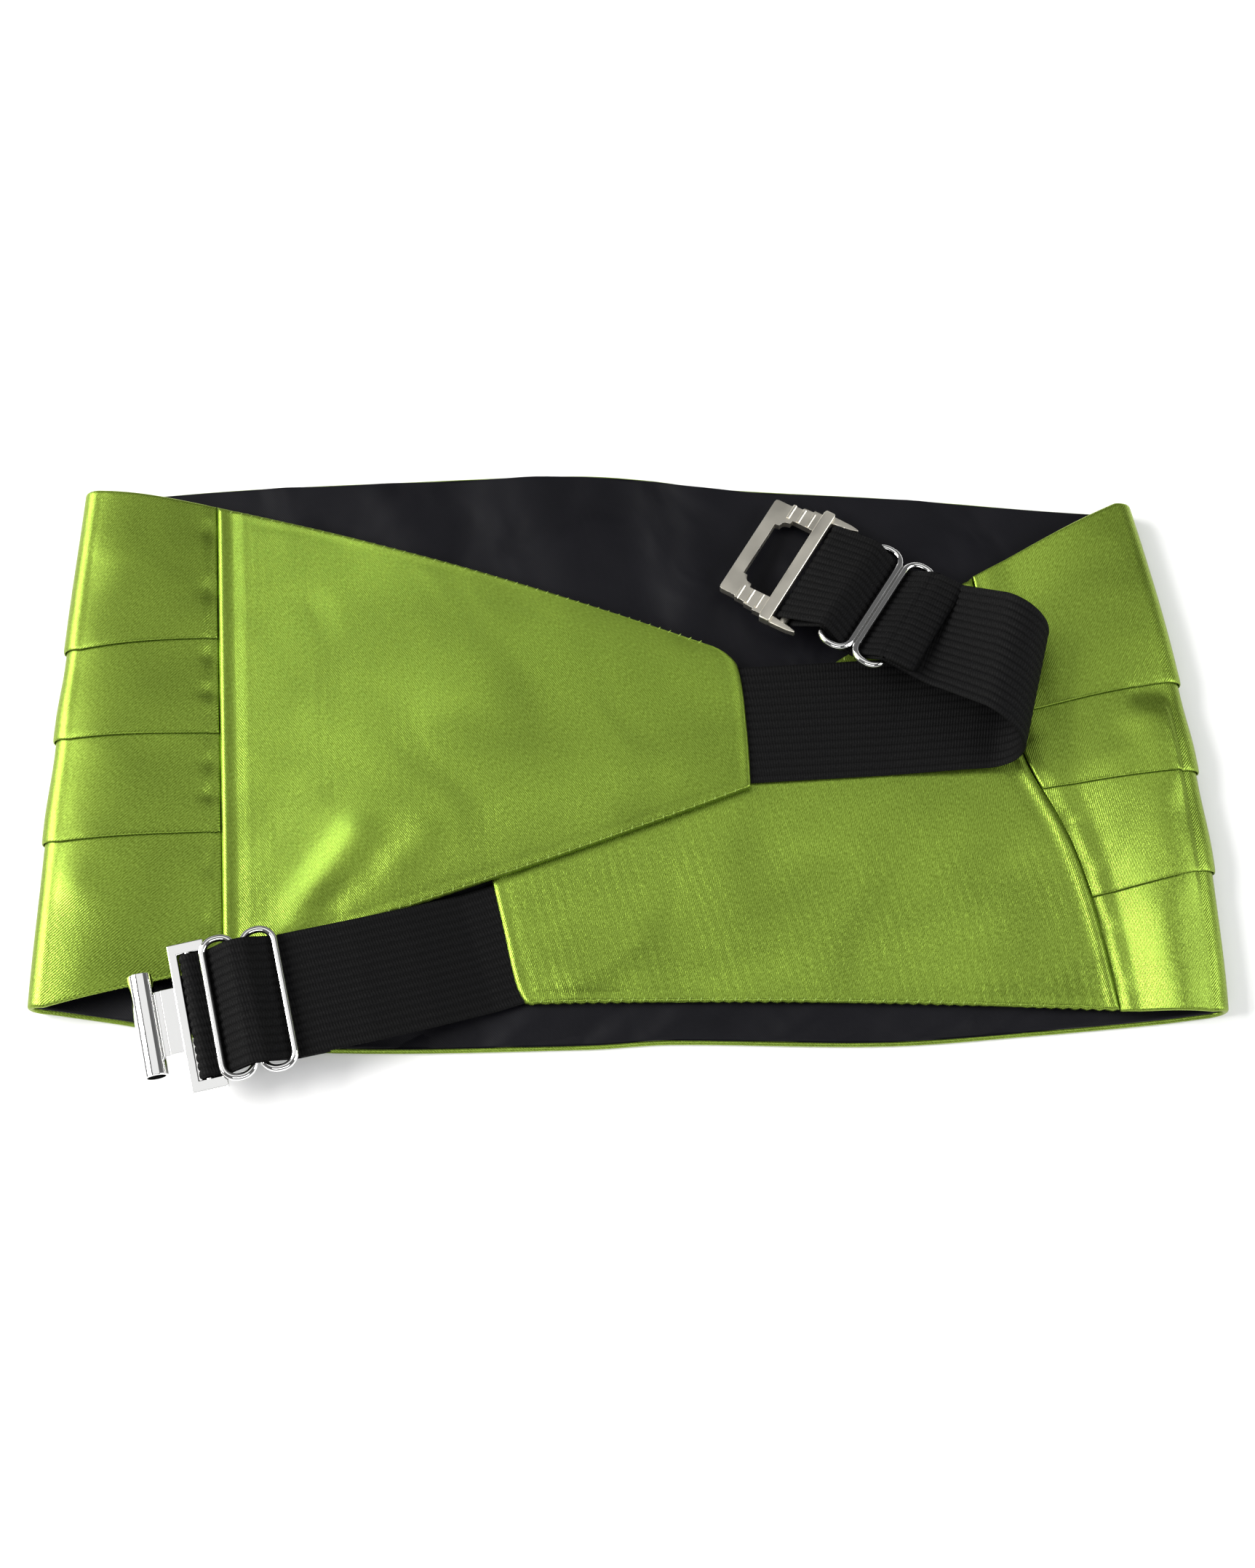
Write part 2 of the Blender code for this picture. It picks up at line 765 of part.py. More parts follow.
def wire_slide(name, place, rotation, material, collection):
    """A slide bent from wire: two loops side by side that share a double middle bar."""
    loops = []
    for turn in (0, 180):
        curve = bpy.data.curves.new(name, "CURVE")
        curve.dimensions = "3D"
        curve.bevel_depth = WIRE / 2 * MM
        curve.bevel_resolution = 2
        points = rounded_loop(MIDDLE_BAR, OUTER_BAR, (SLIDE_LENGTH - WIRE) / 2, SLIDE_CORNER)
        spline = curve.splines.new("POLY")
        spline.points.add(len(points) - 1)
        for point, (x, y) in zip(spline.points, points):
            point.co = (x * MM, y * MM, 0, 1)
        spline.use_cyclic_u = True
        wire = bpy.data.objects.new(name, curve)
        collection.objects.link(wire)
        wire.rotation_euler.z = math.radians(turn)
        bpy.context.view_layer.update()
        loops.append(mesh_from_curve(wire))
    loops[1].data.transform(loops[1].matrix_world)
    loops[1].matrix_world = Matrix.Identity(4)
    made = finish_casting(name, loops, [], 0, material, collection)
    made.location = (place - MIDDLE) * MM
    made.rotation_euler = [math.radians(angle) for angle in rotation]
    return made


HOOK = {
    "length": 36.6,
    "thickness": 1.8,
    "bar_from": 2.7,
    "bar_to": 4.6,
    "arm_end": -4.2,
    "arm_width": 2.3,
    "neck_half": 8.0,
    "neck_step": 8.0,
    "tee_at": 12.0,
    "tee_rise": 0.7,
    "tee_radius": 3.0,
    "tee_bore": 1.8,
    "tee_length": 25.0,
}


def make_hook(material, collection):
    """The T-hook, its crossbar along Y through the origin and its T-bar towards +X."""
    size = HOOK
    half = size["length"] / 2
    arm = half - size["arm_width"]
    arm_end = size["arm_end"]
    outline = [(arm_end, -half), (size["bar_to"], -half), (size["bar_to"], half), (arm_end, half)]
    outline += [(arm_end, arm), (size["bar_from"], arm), (size["bar_from"], -arm), (arm_end, -arm)]
    thick = size["thickness"] / 2
    neck = size["neck_half"]
    tee_middle = (size["tee_at"], 0, size["tee_rise"])
    tee_near = size["tee_at"] - size["tee_radius"] + 0.6
    pieces = [
        plate("hook_frame", [outline], -thick, thick, collection),
        bar("hook_crossbar", CROSSBAR_RADIUS, size["length"] - size["arm_width"], (0, 0, 0), collection, 12),
        block("hook_neck", (size["bar_to"] - 0.8, -neck, -0.7), (size["neck_step"], neck, 0.7), collection),
        block("hook_tongue", (size["neck_step"] - 0.5, -neck, -0.4), (tee_near, neck, 0.4), collection),
        bar("hook_tee", size["tee_radius"], size["tee_length"], tee_middle, collection, 24),
    ]
    cuts = [bar("hook_bore", size["tee_bore"], size["tee_length"] + 2, tee_middle, collection, 16)]
    made = finish_casting("hook", pieces, cuts, 0.3, material, collection)
    distance, height = HOOK_STRAP["crossbar"]
    place, heading = hook_strap_plan(distance)
    place.z = HOOK_STRAP["slide_height"] + height
    made.location = (place - MIDDLE) * MM
    made.rotation_euler = (0, math.radians(HOOK_STRAP["hardware_tilt"]), math.radians(heading))
    return made


BUCKLE = {
    "thickness": 2.2,
    "far_bar": 18.7,
    "far_half": 15.0,
    "shoulder_half": 16.6,
    "ridges": 3,
    "ridge_run": 2.8,
    "ear_half": 17.6,
    "ear_width": 1.9,
    "ear_end": -4.0,
    "overlap": 0.3,
    "main_bar_from": 2.9,
    "main_bar_to": 6.0,
    "main_bar_rise": 0.7,
    "window_to": 15.4,
    "window_half": 11.2,
    "window_corner": 2.4,
}


def make_buckle(material, collection):
    """The buckle, its crossbar along Y through the origin and its window towards +X."""
    size = BUCKLE
    thick = size["thickness"] / 2
    steps = []
    half = size["ear_half"]
    for i in range(size["ridges"] + 1):
        x = size["main_bar_to"] - size["overlap"] + i * size["ridge_run"]
        steps.append((x, half))
        half = blend(size["shoulder_half"], size["far_half"], i / size["ridges"])
        steps.append((x, half))
    steps.append((size["far_bar"], half))
    inner = size["ear_half"] - size["ear_width"]
    ear = [(size["main_bar_from"], inner), (size["ear_end"], inner), (size["ear_end"], size["ear_half"])]
    side = ear + steps
    outline = side + [(x, -y) for x, y in reversed(side)]
    overlap = size["overlap"]
    window_from = size["main_bar_to"] - overlap
    window = rounded_loop(window_from, size["window_to"], size["window_half"], size["window_corner"])
    bar_half = size["ear_half"] + overlap
    bar_low = (size["main_bar_from"] - overlap, -bar_half, overlap - thick)
    bar_high = (size["main_bar_to"], bar_half, thick + size["main_bar_rise"])
    pieces = [
        plate("buckle_frame", [outline, window], -thick, thick, collection),
        block("buckle_bar", bar_low, bar_high, collection),
        bar("buckle_crossbar", CROSSBAR_RADIUS, 2 * inner + size["ear_width"], (0, 0, 0), collection, 12),
    ]
    made = finish_casting("buckle", pieces, [], 0.3, material, collection)
    run = BUCKLE_STRAP
    distance, height = run["crossbar"]
    place, heading = buckle_strap_plan(distance)
    place.z = run["slide_height"] - height
    place, _ = rolled(place, place, run["roll_at_buckle"])
    made.location = (place - MIDDLE) * MM
    turn = Matrix.Rotation(math.radians(heading), 3, "Z")
    roll = Matrix.Rotation(math.radians(run["roll_at_buckle"]), 3, "X")
    tilt = Matrix.Rotation(math.radians(run["hardware_tilt"]), 3, "Y")
    made.rotation_euler = (turn @ roll @ tilt).to_euler()
    return made


def make_all():
    clear_scene()
    parts = make_collection("Cummerbund")
    satin = make_material("lime_satin", (0.34, 0.50, 0.07), 0.38, 0.0)
    black_satin = make_material("black_lining", (0.012, 0.012, 0.016), 0.45, 0.0)
    cloth_wall("front_pleated", front_faces(), satin, parts)
    cloth_wall("front_lining", lining_faces(), black_satin, parts)
    cloth_wall("wing_left", wing_faces("left"), satin, parts)
    cloth_wall("wing_right", wing_faces("right"), satin, parts)
    elastic = make_material("black_elastic", (0.01, 0.01, 0.011), 0.8, 0.0)
    chrome = make_material("polished_chrome", (0.83, 0.84, 0.86), 0.08, 1.0)
    nickel = make_material("satin_nickel", (0.62, 0.59, 0.52), 0.3, 1.0)
    hook_strap = strip_faces(hook_strap_places, ELASTIC_WIDTH, ELASTIC_WALL)
    cloth_wall("strap_hook_side", hook_strap, elastic, parts)
    buckle_strap = strip_faces(buckle_strap_places, ELASTIC_WIDTH, ELASTIC_WALL)
    cloth_wall("strap_buckle_side", buckle_strap, elastic, parts)
    place, heading = hook_strap_plan(0)
    place.z = HOOK_STRAP["slide_height"]
    wire_slide("slider_hook_side", place, (0, 0, heading), chrome, parts)
    place, heading = buckle_strap_plan(0)
    place.z = BUCKLE_STRAP["slide_height"]
    wire_slide("slider_buckle_side", place, (BUCKLE_STRAP["roll_at_slide"], 0, heading), chrome, parts)
    make_hook(chrome, parts)
    make_buckle(nickel, parts)


make_all()
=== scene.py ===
"""A lime satin cummerbund folded flat with its lining up, dressed in cloth, ribbed elastic, thread and metal.

Lengths in the tables are in millimetres and MM turns them into metres. X runs to the right along the
front, Y away from the near edge, Z up from the surface that the piece lies on.
"""

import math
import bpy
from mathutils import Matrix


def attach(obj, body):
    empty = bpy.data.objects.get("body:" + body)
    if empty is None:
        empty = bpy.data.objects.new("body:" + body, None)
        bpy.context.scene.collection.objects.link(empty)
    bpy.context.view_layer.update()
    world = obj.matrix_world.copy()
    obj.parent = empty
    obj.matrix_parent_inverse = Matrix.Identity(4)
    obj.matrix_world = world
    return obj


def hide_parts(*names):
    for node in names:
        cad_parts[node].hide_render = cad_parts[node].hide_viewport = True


bl_info = {
    "name": "Satin Cummerbund",
    "version": (1, 0, 0),
    "blender": (4, 5, 0),
    "location": "View3D > Sidebar > Cummerbund",
    "description": "Satin, lining, ribbed elastic, stitches, wire slides, hook and buckle of a cummerbund",
    "category": "Object",
}

import bmesh
import bpy
import numpy as np
from mathutils import Matrix, Vector

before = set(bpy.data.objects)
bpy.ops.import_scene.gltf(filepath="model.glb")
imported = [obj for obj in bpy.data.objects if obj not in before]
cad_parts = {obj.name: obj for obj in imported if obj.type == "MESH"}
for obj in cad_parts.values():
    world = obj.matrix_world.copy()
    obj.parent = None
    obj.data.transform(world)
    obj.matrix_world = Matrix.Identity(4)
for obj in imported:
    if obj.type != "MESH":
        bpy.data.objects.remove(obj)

MM = 0.001
MIDDLE = np.array((0.1, 3.2, 0.0))

# ---------------------------------------------------------------- the cummerbund's own measures

SEAM_GAP = 0.3
SATIN_WALL = 1.6
LINING_WALL = 1.0
WING_WALL = 2.0
ELASTIC_WIDTH = 30.5
ELASTIC_WALL = 1.0
FRONT_HEIGHT = 142.0
FOLD_INNER_RADIUS = 3.0
FOLD_RADIUS = FOLD_INNER_RADIUS + SATIN_WALL
LINING_TOP = SATIN_WALL + SEAM_GAP + LINING_WALL
FLAP_FLOOR = LINING_TOP + 2 * SEAM_GAP + LINING_WALL
FLAP_AT_FOLD = SATIN_WALL + 2 * FOLD_INNER_RADIUS
WING_FLOOR = LINING_TOP + SEAM_GAP
UPPER_WING_FLOOR = WING_FLOOR + WING_WALL + SEAM_GAP

# The outline of the front as it lies, between the folds: x, y.
FAR_EDGE = [
    (-118, 79.6), (-95, 81.5), (-60, 83.3), (-14, 85.2),
    (5, 84.0), (22, 81.6), (70, 78.6), (106, 75.4),
]
NEAR_EDGE = [
    (-120, -60.0), (-100, -63.6), (-72, -66.6), (-10, -65.8),
    (10, -64.6), (62, -65.0), (98, -62.4), (128, -59.6),
]

# Each fold's outermost line from its far to its near end, how far it bows out, and which way is inward.
FOLDS = {
    "left": {"far": (-138.9, 77.8), "near": (-143.8, -57.0), "bow": 0.8, "inward": 1},
    "right": {"far": (128.6, 74.6), "near": (144.0, -57.6), "bow": 3.9, "inward": -1},
}

# Each seam between the front and a wing: share of its length from the far end, x, y.
SEAMS = {
    "left": [(0.0, -105.3, 74.6), (0.35, -102.6, 31.4), (0.7, -99.8, -11.0), (1.0, -97.6, -46.6)],
    "right": [
        (0.0, 87.6, 55.4), (0.2, 91.8, 31.6), (0.42, 98.6, 7.1),
        (0.6, 107.4, -12.0), (0.76, 113.0, -30.0), (1.0, 118.1, -57.3),
    ],
}

# The pleats' lower edges on each side, as shares of the height from the far edge.
PLEATS_AT_FOLD = {"left": (0.325, 0.500, 0.696), "right": (0.374, 0.549, 0.742)}
PLEATS_AT_SEAM = {"left": (0.293, 0.499, 0.712), "right": (0.322, 0.500, 0.752)}

# The end of each wing, its far corner rounded: share from the far end, x, y.
WING_TIPS = {
    "left": [
        (0.0, 20.4, 36.0), (0.06, 24.6, 33.9), (0.14, 27.6, 30.2), (0.5, 29.6, 14.0), (1.0, 30.4, -1.6),
    ],
    "right": [(0.0, -33.2, -24.0), (0.4, -30.2, -36.6), (0.85, -26.8, -51.0), (1.0, -24.4, -55.7)],
}

# How far each wing's far and near edges bow out.
WING_BOW = {"left": (2.4, -1.2), "right": (0.4, 1.3)}

# Where each wing rises over the other, as shares of its length from the seam, and by how much.
WING_RISE = {"left": (-0.25, 0.56, UPPER_WING_FLOOR - WING_FLOOR), "right": (0.0, 1.0, 0.0)}

# How high each folded-in end swells, and the share of its width where the swell ends.
FLAP_SWELL = {"left": (1.7, 0.95), "right": (1.2, 0.78)}

# Soft ridges and, with a negative height, troughs in the cloth: x, y, x, y, half width, height.
FLAP_CREASES = [
    (-128.0, 60.0, -112.0, 44.0, 7.0, 0.25), (-120.0, 8.0, -106.0, 14.0, 5.0, -0.25),
    (-132.0, -28.0, -110.0, -44.0, 6.0, 0.45), (-126.0, -50.0, -102.0, -52.0, 4.0, -0.35),
    (120.0, 62.0, 104.0, 30.0, 7.0, 0.3), (131.5, 16.0, 136.0, 2.0, 6.5, 1.4),
    (112.0, 8.0, 120.0, 12.0, 5.0, -0.5), (132.0, -6.0, 136.0, -24.0, 6.0, 0.9),
    (130.0, -34.0, 132.0, -50.0, 6.0, 0.5), (128.0, 22.0, 134.0, 21.0, 3.5, -0.7),
]
WING_CREASES = {
    "left": [
        (-88.0, -46.0, -66.0, -14.0, 5.0, 0.9), (-95.0, -20.0, -84.0, 0.0, 6.0, -0.2),
        (-66.0, -30.0, -50.0, -14.0, 4.5, 0.5), (-82.0, -36.0, -62.0, -24.0, 4.0, -0.3),
        (-40.0, 22.0, -6.0, 30.0, 12.0, 0.3), (-46.0, -8.0, -10.0, 2.0, 10.0, -0.3),
        (-88.0, 48.0, -62.0, 56.0, 10.0, -0.25),
    ],
    "right": [
        (-12.0, -50.0, 4.0, -40.0, 4.5, 0.5), (-20.0, -34.0, 8.0, -24.0, 6.0, -0.3),
        (30.0, -30.0, 66.0, -6.0, 10.0, 0.3), (60.0, -44.0, 98.0, -34.0, 8.0, -0.35),
        (109.0, -16.0, 119.0, -48.0, 13.0, 1.3), (12.0, -50.0, 34.0, -46.0, 5.0, -0.35),
        (50.0, 14.0, 84.0, 26.0, 9.0, 0.3), (88.0, -50.0, 108.0, -46.0, 6.0, 0.35),
    ],
}
LINING_CREASES = [
    (-62.0, 78.0, -54.0, 62.0, 5.0, 0.75), (-44.0, 82.0, -38.0, 50.0, 6.0, -0.6),
    (-24.0, 82.0, -12.0, 40.0, 7.0, 0.83), (-2.0, 82.0, 6.0, 48.0, 5.0, -0.68),
    (20.0, 80.0, 14.0, 34.0, 6.0, 0.75), (36.0, 78.0, 34.0, 62.0, 5.0, -0.6),
    (73.0, 76.0, 69.0, 68.0, 5.0, 0.4), (88.0, 76.0, 78.0, 58.0, 5.0, -0.52),
    (-88.0, 79.0, -80.0, 60.0, 5.0, 0.6),
    (-66.0, -66.0, -58.0, -56.0, 2.6, 0.75), (-52.0, -66.0, -42.0, -55.0, 2.4, -0.68),
    (-30.0, -66.0, -22.0, -58.0, 2.4, 0.83), (-16.0, -66.0, -4.0, -57.0, 2.2, -0.75),
    (4.0, -66.0, 14.0, -57.0, 2.4, 0.9), (22.0, -66.0, 28.0, -58.0, 2.0, -0.75),
    (34.0, -66.0, 46.0, -57.0, 2.6, 0.83), (52.0, -66.0, 60.0, -58.0, 2.2, -0.75),
    (66.0, -66.0, 80.0, -58.0, 2.4, 0.75), (86.0, -64.0, 96.0, -57.0, 2.2, -0.68),
    (102.0, -63.0, 114.0, -57.0, 2.4, 0.6), (-108.0, -62.0, -96.0, -52.0, 3.0, -0.6),
    (-120.0, -61.0, -110.0, -50.0, 3.0, 0.6),
    (-104.0, -64.0, -20.0, -66.0, 3.8, -0.75), (-20.0, -66.0, 112.0, -63.5, 3.8, -0.75),
]


# ---------------------------------------------------------------- numbers and curves


def blend(a, b, share):
    """The value at a share of the way from a to b."""
    return a + (b - a) * share


def along(rows, x):
    """The value at x of a table of (x, value...) rows, on a smooth curve through them."""
    last = len(rows) - 1
    i = 0
    while i < last - 1 and x > rows[i + 1][0]:
        i += 1
    width = rows[i + 1][0] - rows[i][0]
    share = min(max((x - rows[i][0]) / width, 0.0), 1.0)
    values = []
    for column in range(1, len(rows[0])):
        slopes = []
        for k in (i, i + 1):
            before = rows[max(k - 1, 0)]
            after = rows[min(k + 1, last)]
            slopes.append((after[column] - before[column]) / (after[0] - before[0]) * width)
        a = rows[i][column]
        b = rows[i + 1][column]
        h2 = share * share
        h3 = h2 * share
        value = a * (2 * h3 - 3 * h2 + 1) + slopes[0] * (h3 - 2 * h2 + share)
        values.append(value + b * (3 * h2 - 2 * h3) + slopes[1] * (h3 - h2))
    return values


def ease(share):
    """A share from 0 to 1 that starts and ends gently."""
    share = min(max(share, 0.0), 1.0)
    return share * share * (3 - 2 * share)


def plan(angle):
    """The flat unit vector that points along an angle in degrees."""
    return Vector((math.cos(math.radians(angle)), math.sin(math.radians(angle)), 0))


def hump(distance, middle, width):
    """1 at the middle and less to both sides."""
    return math.exp(-(((distance - middle) / width) ** 2))


def rounding(distance, radius):
    """How much of a wall's half thickness is left at a distance from its rounded edge."""
    left = 1 - min(distance / radius, 1.0)
    return max(math.sqrt(1 - left * left), THINNEST)


def relief(points, creases, strength):
    """The height that soft ridges and troughs add at each point of an array."""
    height = np.zeros(points.shape[:-1])
    for x1, y1, x2, y2, width, rise in creases:
        run = np.array((x2 - x1, y2 - y1))
        share = np.clip(((points[..., :2] - (x1, y1)) @ run) / (run @ run), 0, 1)
        gap = points[..., :2] - (x1, y1) - share[..., None] * run
        height += rise * strength * np.exp(-(gap**2).sum(-1) / width**2)
    return height


def edge_steps(length, near_start, near_end, spacing):
    """Distances from 0 to length, close together near rounded edges and evenly spaced between."""
    middle = length - near_start[-1] - near_end[-1]
    count = max(2, round(middle / spacing))
    between = [near_start[-1] + middle * i / count for i in range(1, count)]
    return [*near_start, *between, *(length - distance for distance in reversed(near_end))]


# Distances of the points beside a rounded edge, and the least share of a wall that is left at the edge.
ROUND_EDGE = (0.0, 0.05, 0.17, 0.38, 0.7, 1.1, 1.6, 2.3, 3.2)
THINNEST = 0.06


# ---------------------------------------------------------------- meshes


def new_object(name, mesh):
    """An object of a mesh or curve, in the scene and at the origin."""
    made = bpy.data.objects.new(name, mesh)
    bpy.context.scene.collection.objects.link(made)
    return made


def cloth_mesh(name, outer, inner, layout):
    """A closed wall between two equal grids of points; layout is each point's place on the flat cloth."""
    outer = np.array(outer, float)
    inner = np.array(inner, float)
    rows, columns = outer.shape[:2]
    count = rows * columns
    points = (np.concatenate([outer.reshape(-1, 3), inner.reshape(-1, 3)]) - MIDDLE) * MM
    index = np.arange(count).reshape(rows, columns)
    corners = [index[:-1, :-1], index[1:, :-1], index[1:, 1:], index[:-1, 1:]]
    top = np.stack(corners, -1).reshape(-1, 4)
    ring = np.concatenate([index[0, :], index[1:, -1], index[-1, -2::-1], index[-2:0:-1, 0]])
    following = np.roll(ring, -1)
    rim = np.stack([ring, following, following + count, ring + count], -1)
    faces = np.concatenate([top, top[:, ::-1] + count, rim])
    a, b, c = (points[faces[:, k]] for k in range(3))
    d = points[faces[:, 3]]
    if (np.einsum("ij,ij->i", a, np.cross(b, c)) + np.einsum("ij,ij->i", a, np.cross(c, d))).sum() < 0:
        faces = faces[:, ::-1]
    mesh = bpy.data.meshes.new(name)
    mesh.from_pydata(points.tolist(), [], faces.tolist())
    place = np.array(layout, float).reshape(-1, 2)
    place = np.concatenate([place, place])
    uv = mesh.uv_layers.new(name="cloth")
    uv.data.foreach_set("uv", place[faces.reshape(-1)].astype(np.float32).ravel())
    mesh.shade_smooth()
    return mesh


def cloth_layout(grid):
    """Each point's place on the flat cloth in millimetres, measured along the grid's rows and columns."""
    grid = np.array(grid, float)
    rows, columns = grid.shape[:2]
    place = np.zeros((rows, columns, 2))
    steps = np.linalg.norm(np.diff(grid, axis=0), axis=-1)
    place[1:, :, 0] = np.cumsum(steps.mean(1))[:, None]
    across = np.linalg.norm(np.diff(grid, axis=1), axis=-1)
    place[:, 1:, 1] = np.cumsum(across, axis=1)
    return place


# ---------------------------------------------------------------- the pleated front and its lining

# How closely the strip's points lie: along a flap, round a fold, along the flat, and across each band.
FLAP_RUN = 38.0
FLAP_SPACING = 1.1
TURN_STEPS = 24
FLAT_STEPS = 84
BAND_STEPS = 14

# The bands that the pleats make, from the far edge to the near one.
BANDS = len(PLEATS_AT_FOLD["left"]) + 1


def fold_line(side, share):
    """A fold's outermost point at a share of the height, and the flat direction inward from it."""
    fold = FOLDS[side]
    far = Vector((*fold["far"], 0))
    near = Vector((*fold["near"], 0))
    down = (near - far).normalized()
    inward = Vector((-down.y, down.x, 0)) * fold["inward"]
    bow = fold["bow"] * 4 * share * (1 - share)
    return far.lerp(near, share) - inward * bow, inward


def seam_point(side, share):
    """A point of a seam between the front and a wing."""
    return Vector((*along(SEAMS[side], min(max(share, 0.0), 1.0)), 0))


def front_point(share, station):
    """The satin's inner face and its outward direction at a station along the strip."""
    kind, side, value = station
    if kind == "flat":
        left, left_inward = fold_line("left", share)
        right, right_inward = fold_line("right", share)
        start = left + left_inward * FOLD_RADIUS
        end = right + right_inward * FOLD_RADIUS
        edges = []
        for table, edge_share in ((FAR_EDGE, 0), (NEAR_EDGE, 1)):
            first, first_inward = fold_line("left", edge_share)
            last, last_inward = fold_line("right", edge_share)
            first = first + first_inward * FOLD_RADIUS
            last = last + last_inward * FOLD_RADIUS
            rows = [(first.x, first.y), *table, (last.x, last.y)]
            edges.append(along(rows, blend(first.x, last.x, value))[0])
        y = blend(edges[0], edges[1], share)
        return Vector((blend(start.x, end.x, value), y, SATIN_WALL)), Vector((0, 0, -1))
    edge, inward = fold_line(side, share)
    centre = edge + inward * FOLD_RADIUS
    if kind == "turn":
        angle = math.radians(value)
        outward = inward * -math.sin(angle) + Vector((0, 0, -math.cos(angle)))
        return centre + Vector((0, 0, FOLD_RADIUS)) + outward * FOLD_INNER_RADIUS, outward
    seam = seam_point(side, share)
    flat = centre.lerp(seam, value)
    swell, swell_end = FLAP_SWELL[side]
    swell *= math.sin(math.pi * min(value / swell_end, 1.0))
    flat.z = blend(FLAP_AT_FOLD, FLAP_FLOOR, ease(value)) + swell
    return flat, Vector((0, 0, 1))


def front_stations():
    """Every station of the strip from the left seam round to the right one."""
    from_seam = edge_steps(FLAP_RUN, ROUND_EDGE, (0.0, 1.0), FLAP_SPACING)
    flap = [1 - distance / FLAP_RUN for distance in from_seam][:-1]
    turn = [180 - 180 / TURN_STEPS * i for i in range(TURN_STEPS + 1)]
    stations = [("flap", "left", value) for value in flap]
    stations += [("turn", "left", value) for value in turn]
    stations += [("flat", None, (i + 1) / FLAT_STEPS) for i in range(FLAT_STEPS - 1)]
    stations += [("turn", "right", value) for value in reversed(turn)]
    stations += [("flap", "right", value) for value in reversed(flap)]
    return stations


# The fold's angles over which the pleats' step grows: where it starts, and over how many degrees.
FADE_FROM = 20
FADE_OVER = 70


def pleat_fade(station):
    """How much of the pleats' step stands out: all of it on top, part of it where the front rests."""
    kind, _, value = station
    if kind == "flap":
        return 1.0
    return ease((value - FADE_FROM) / FADE_OVER) if kind == "turn" else 0.0


def pleat_bounds(station):
    """The shares of the height at which the pleats begin and end, at this station."""
    kind, side, value = station
    if kind == "flat":
        left = Vector(PLEATS_AT_FOLD["left"])
        return (0.0, *left.lerp(Vector(PLEATS_AT_FOLD["right"]), value), 1.0)
    folded = Vector(PLEATS_AT_FOLD[side])
    return (0.0, *folded.lerp(Vector(PLEATS_AT_SEAM[side]), value if kind == "flap" else 0.0), 1.0)


# The wall before and after a pleat's step: where the front rests, and where it stands out.
PLEAT_WALLS = {"resting": (1.0, SATIN_WALL), "raised": (1.2, 2.0)}

# A pleat's doubled edge in section: distance past the edge, share of the step's height.
PLEAT_SECTION = [
    (-5.0, 0.97), (-3.0, 1.0), (-1.6, 1.02), (-0.8, 1.0), (-0.35, 0.93), (-0.1, 0.8), (0.0, 0.64),
    (-0.1, 0.48), (-0.35, 0.38), (-0.9, 0.3), (-1.7, 0.2), (-2.0, 0.12), (-1.7, 0.04), (-0.9, 0.0),
    (-0.2, 0.0), (0.5, 0.01), (1.4, 0.02), (2.8, 0.04),
]
SATIN_EDGE_RADIUS = 0.8


def pleated_columns(station):
    """(share, wall, rounding) of each point across the strip: four bands, each lapping the next."""
    bounds = pleat_bounds(station)
    fade = pleat_fade(station)
    low, high = (blend(a, b, fade) for a, b in zip(PLEAT_WALLS["resting"], PLEAT_WALLS["raised"]))
    before_step, step_start = PLEAT_SECTION[0]
    after_step, step_end = PLEAT_SECTION[-1]
    last_band = BANDS - 1
    columns = []
    for band in range(BANDS):
        first = bounds[band] * FRONT_HEIGHT
        last = bounds[band + 1] * FRONT_HEIGHT
        begin = ROUND_EDGE[-1] if band == 0 else after_step
        end = ROUND_EDGE[-1] if band == last_band else -before_step
        if band == 0:
            columns += [(d, SATIN_WALL, rounding(d, SATIN_EDGE_RADIUS)) for d in ROUND_EDGE]
        else:
            columns += [(first + d, blend(low, high, h), 1.0) for d, h in PLEAT_SECTION]
        wall_first = SATIN_WALL if band == 0 else blend(low, high, step_end)
        wall_last = SATIN_WALL if band == last_band else blend(low, high, step_start)
        for i in range(1, BAND_STEPS):
            share = i / BAND_STEPS
            wall = blend(wall_first, wall_last, ease(share))
            columns.append((blend(first + begin, last - end, share), wall, 1.0))
        if band == last_band:
            columns += [(last - d, SATIN_WALL, rounding(d, SATIN_EDGE_RADIUS)) for d in reversed(ROUND_EDGE)]
    return [(d / FRONT_HEIGHT, wall, left) for d, wall, left in columns]


# Puckers along each seam: share from the far end, how strong. Below, how deep and wide the seam sinks.
SEAM_PUCKERS = {
    "left": [
        (0.06, 1.0), (0.19, 1.4), (0.33, 0.8), (0.41, 1.2),
        (0.56, 0.9), (0.63, 1.3), (0.78, 1.0), (0.9, 1.2),
    ],
    "right": [
        (0.08, 0.9), (0.24, 1.2), (0.38, 1.0), (0.47, 0.7),
        (0.58, 1.3), (0.69, 1.0), (0.82, 1.1), (0.94, 0.9),
    ],
}
SEAM_DIP = 0.7
SEAM_DIP_WIDTH = 4.5
PUCKER_DEPTH = 0.42
PUCKER_SPREAD = 0.014
PUCKER_AT = 2.2
PUCKER_WIDTH = 3.2
LEAST_SATIN = 0.5
FLAP_EDGE_RADIUS = 0.6


def seam_dip(side, share, distance):
    """How far the satin sinks towards a seam, with small puckers where the thread pulls it."""
    dip = SEAM_DIP * (1 - ease(distance / SEAM_DIP_WIDTH))
    for place, depth in SEAM_PUCKERS[side]:
        pull = hump(share, place, PUCKER_SPREAD) * hump(distance, PUCKER_AT, PUCKER_WIDTH)
        dip += PUCKER_DEPTH * depth * pull
    return dip


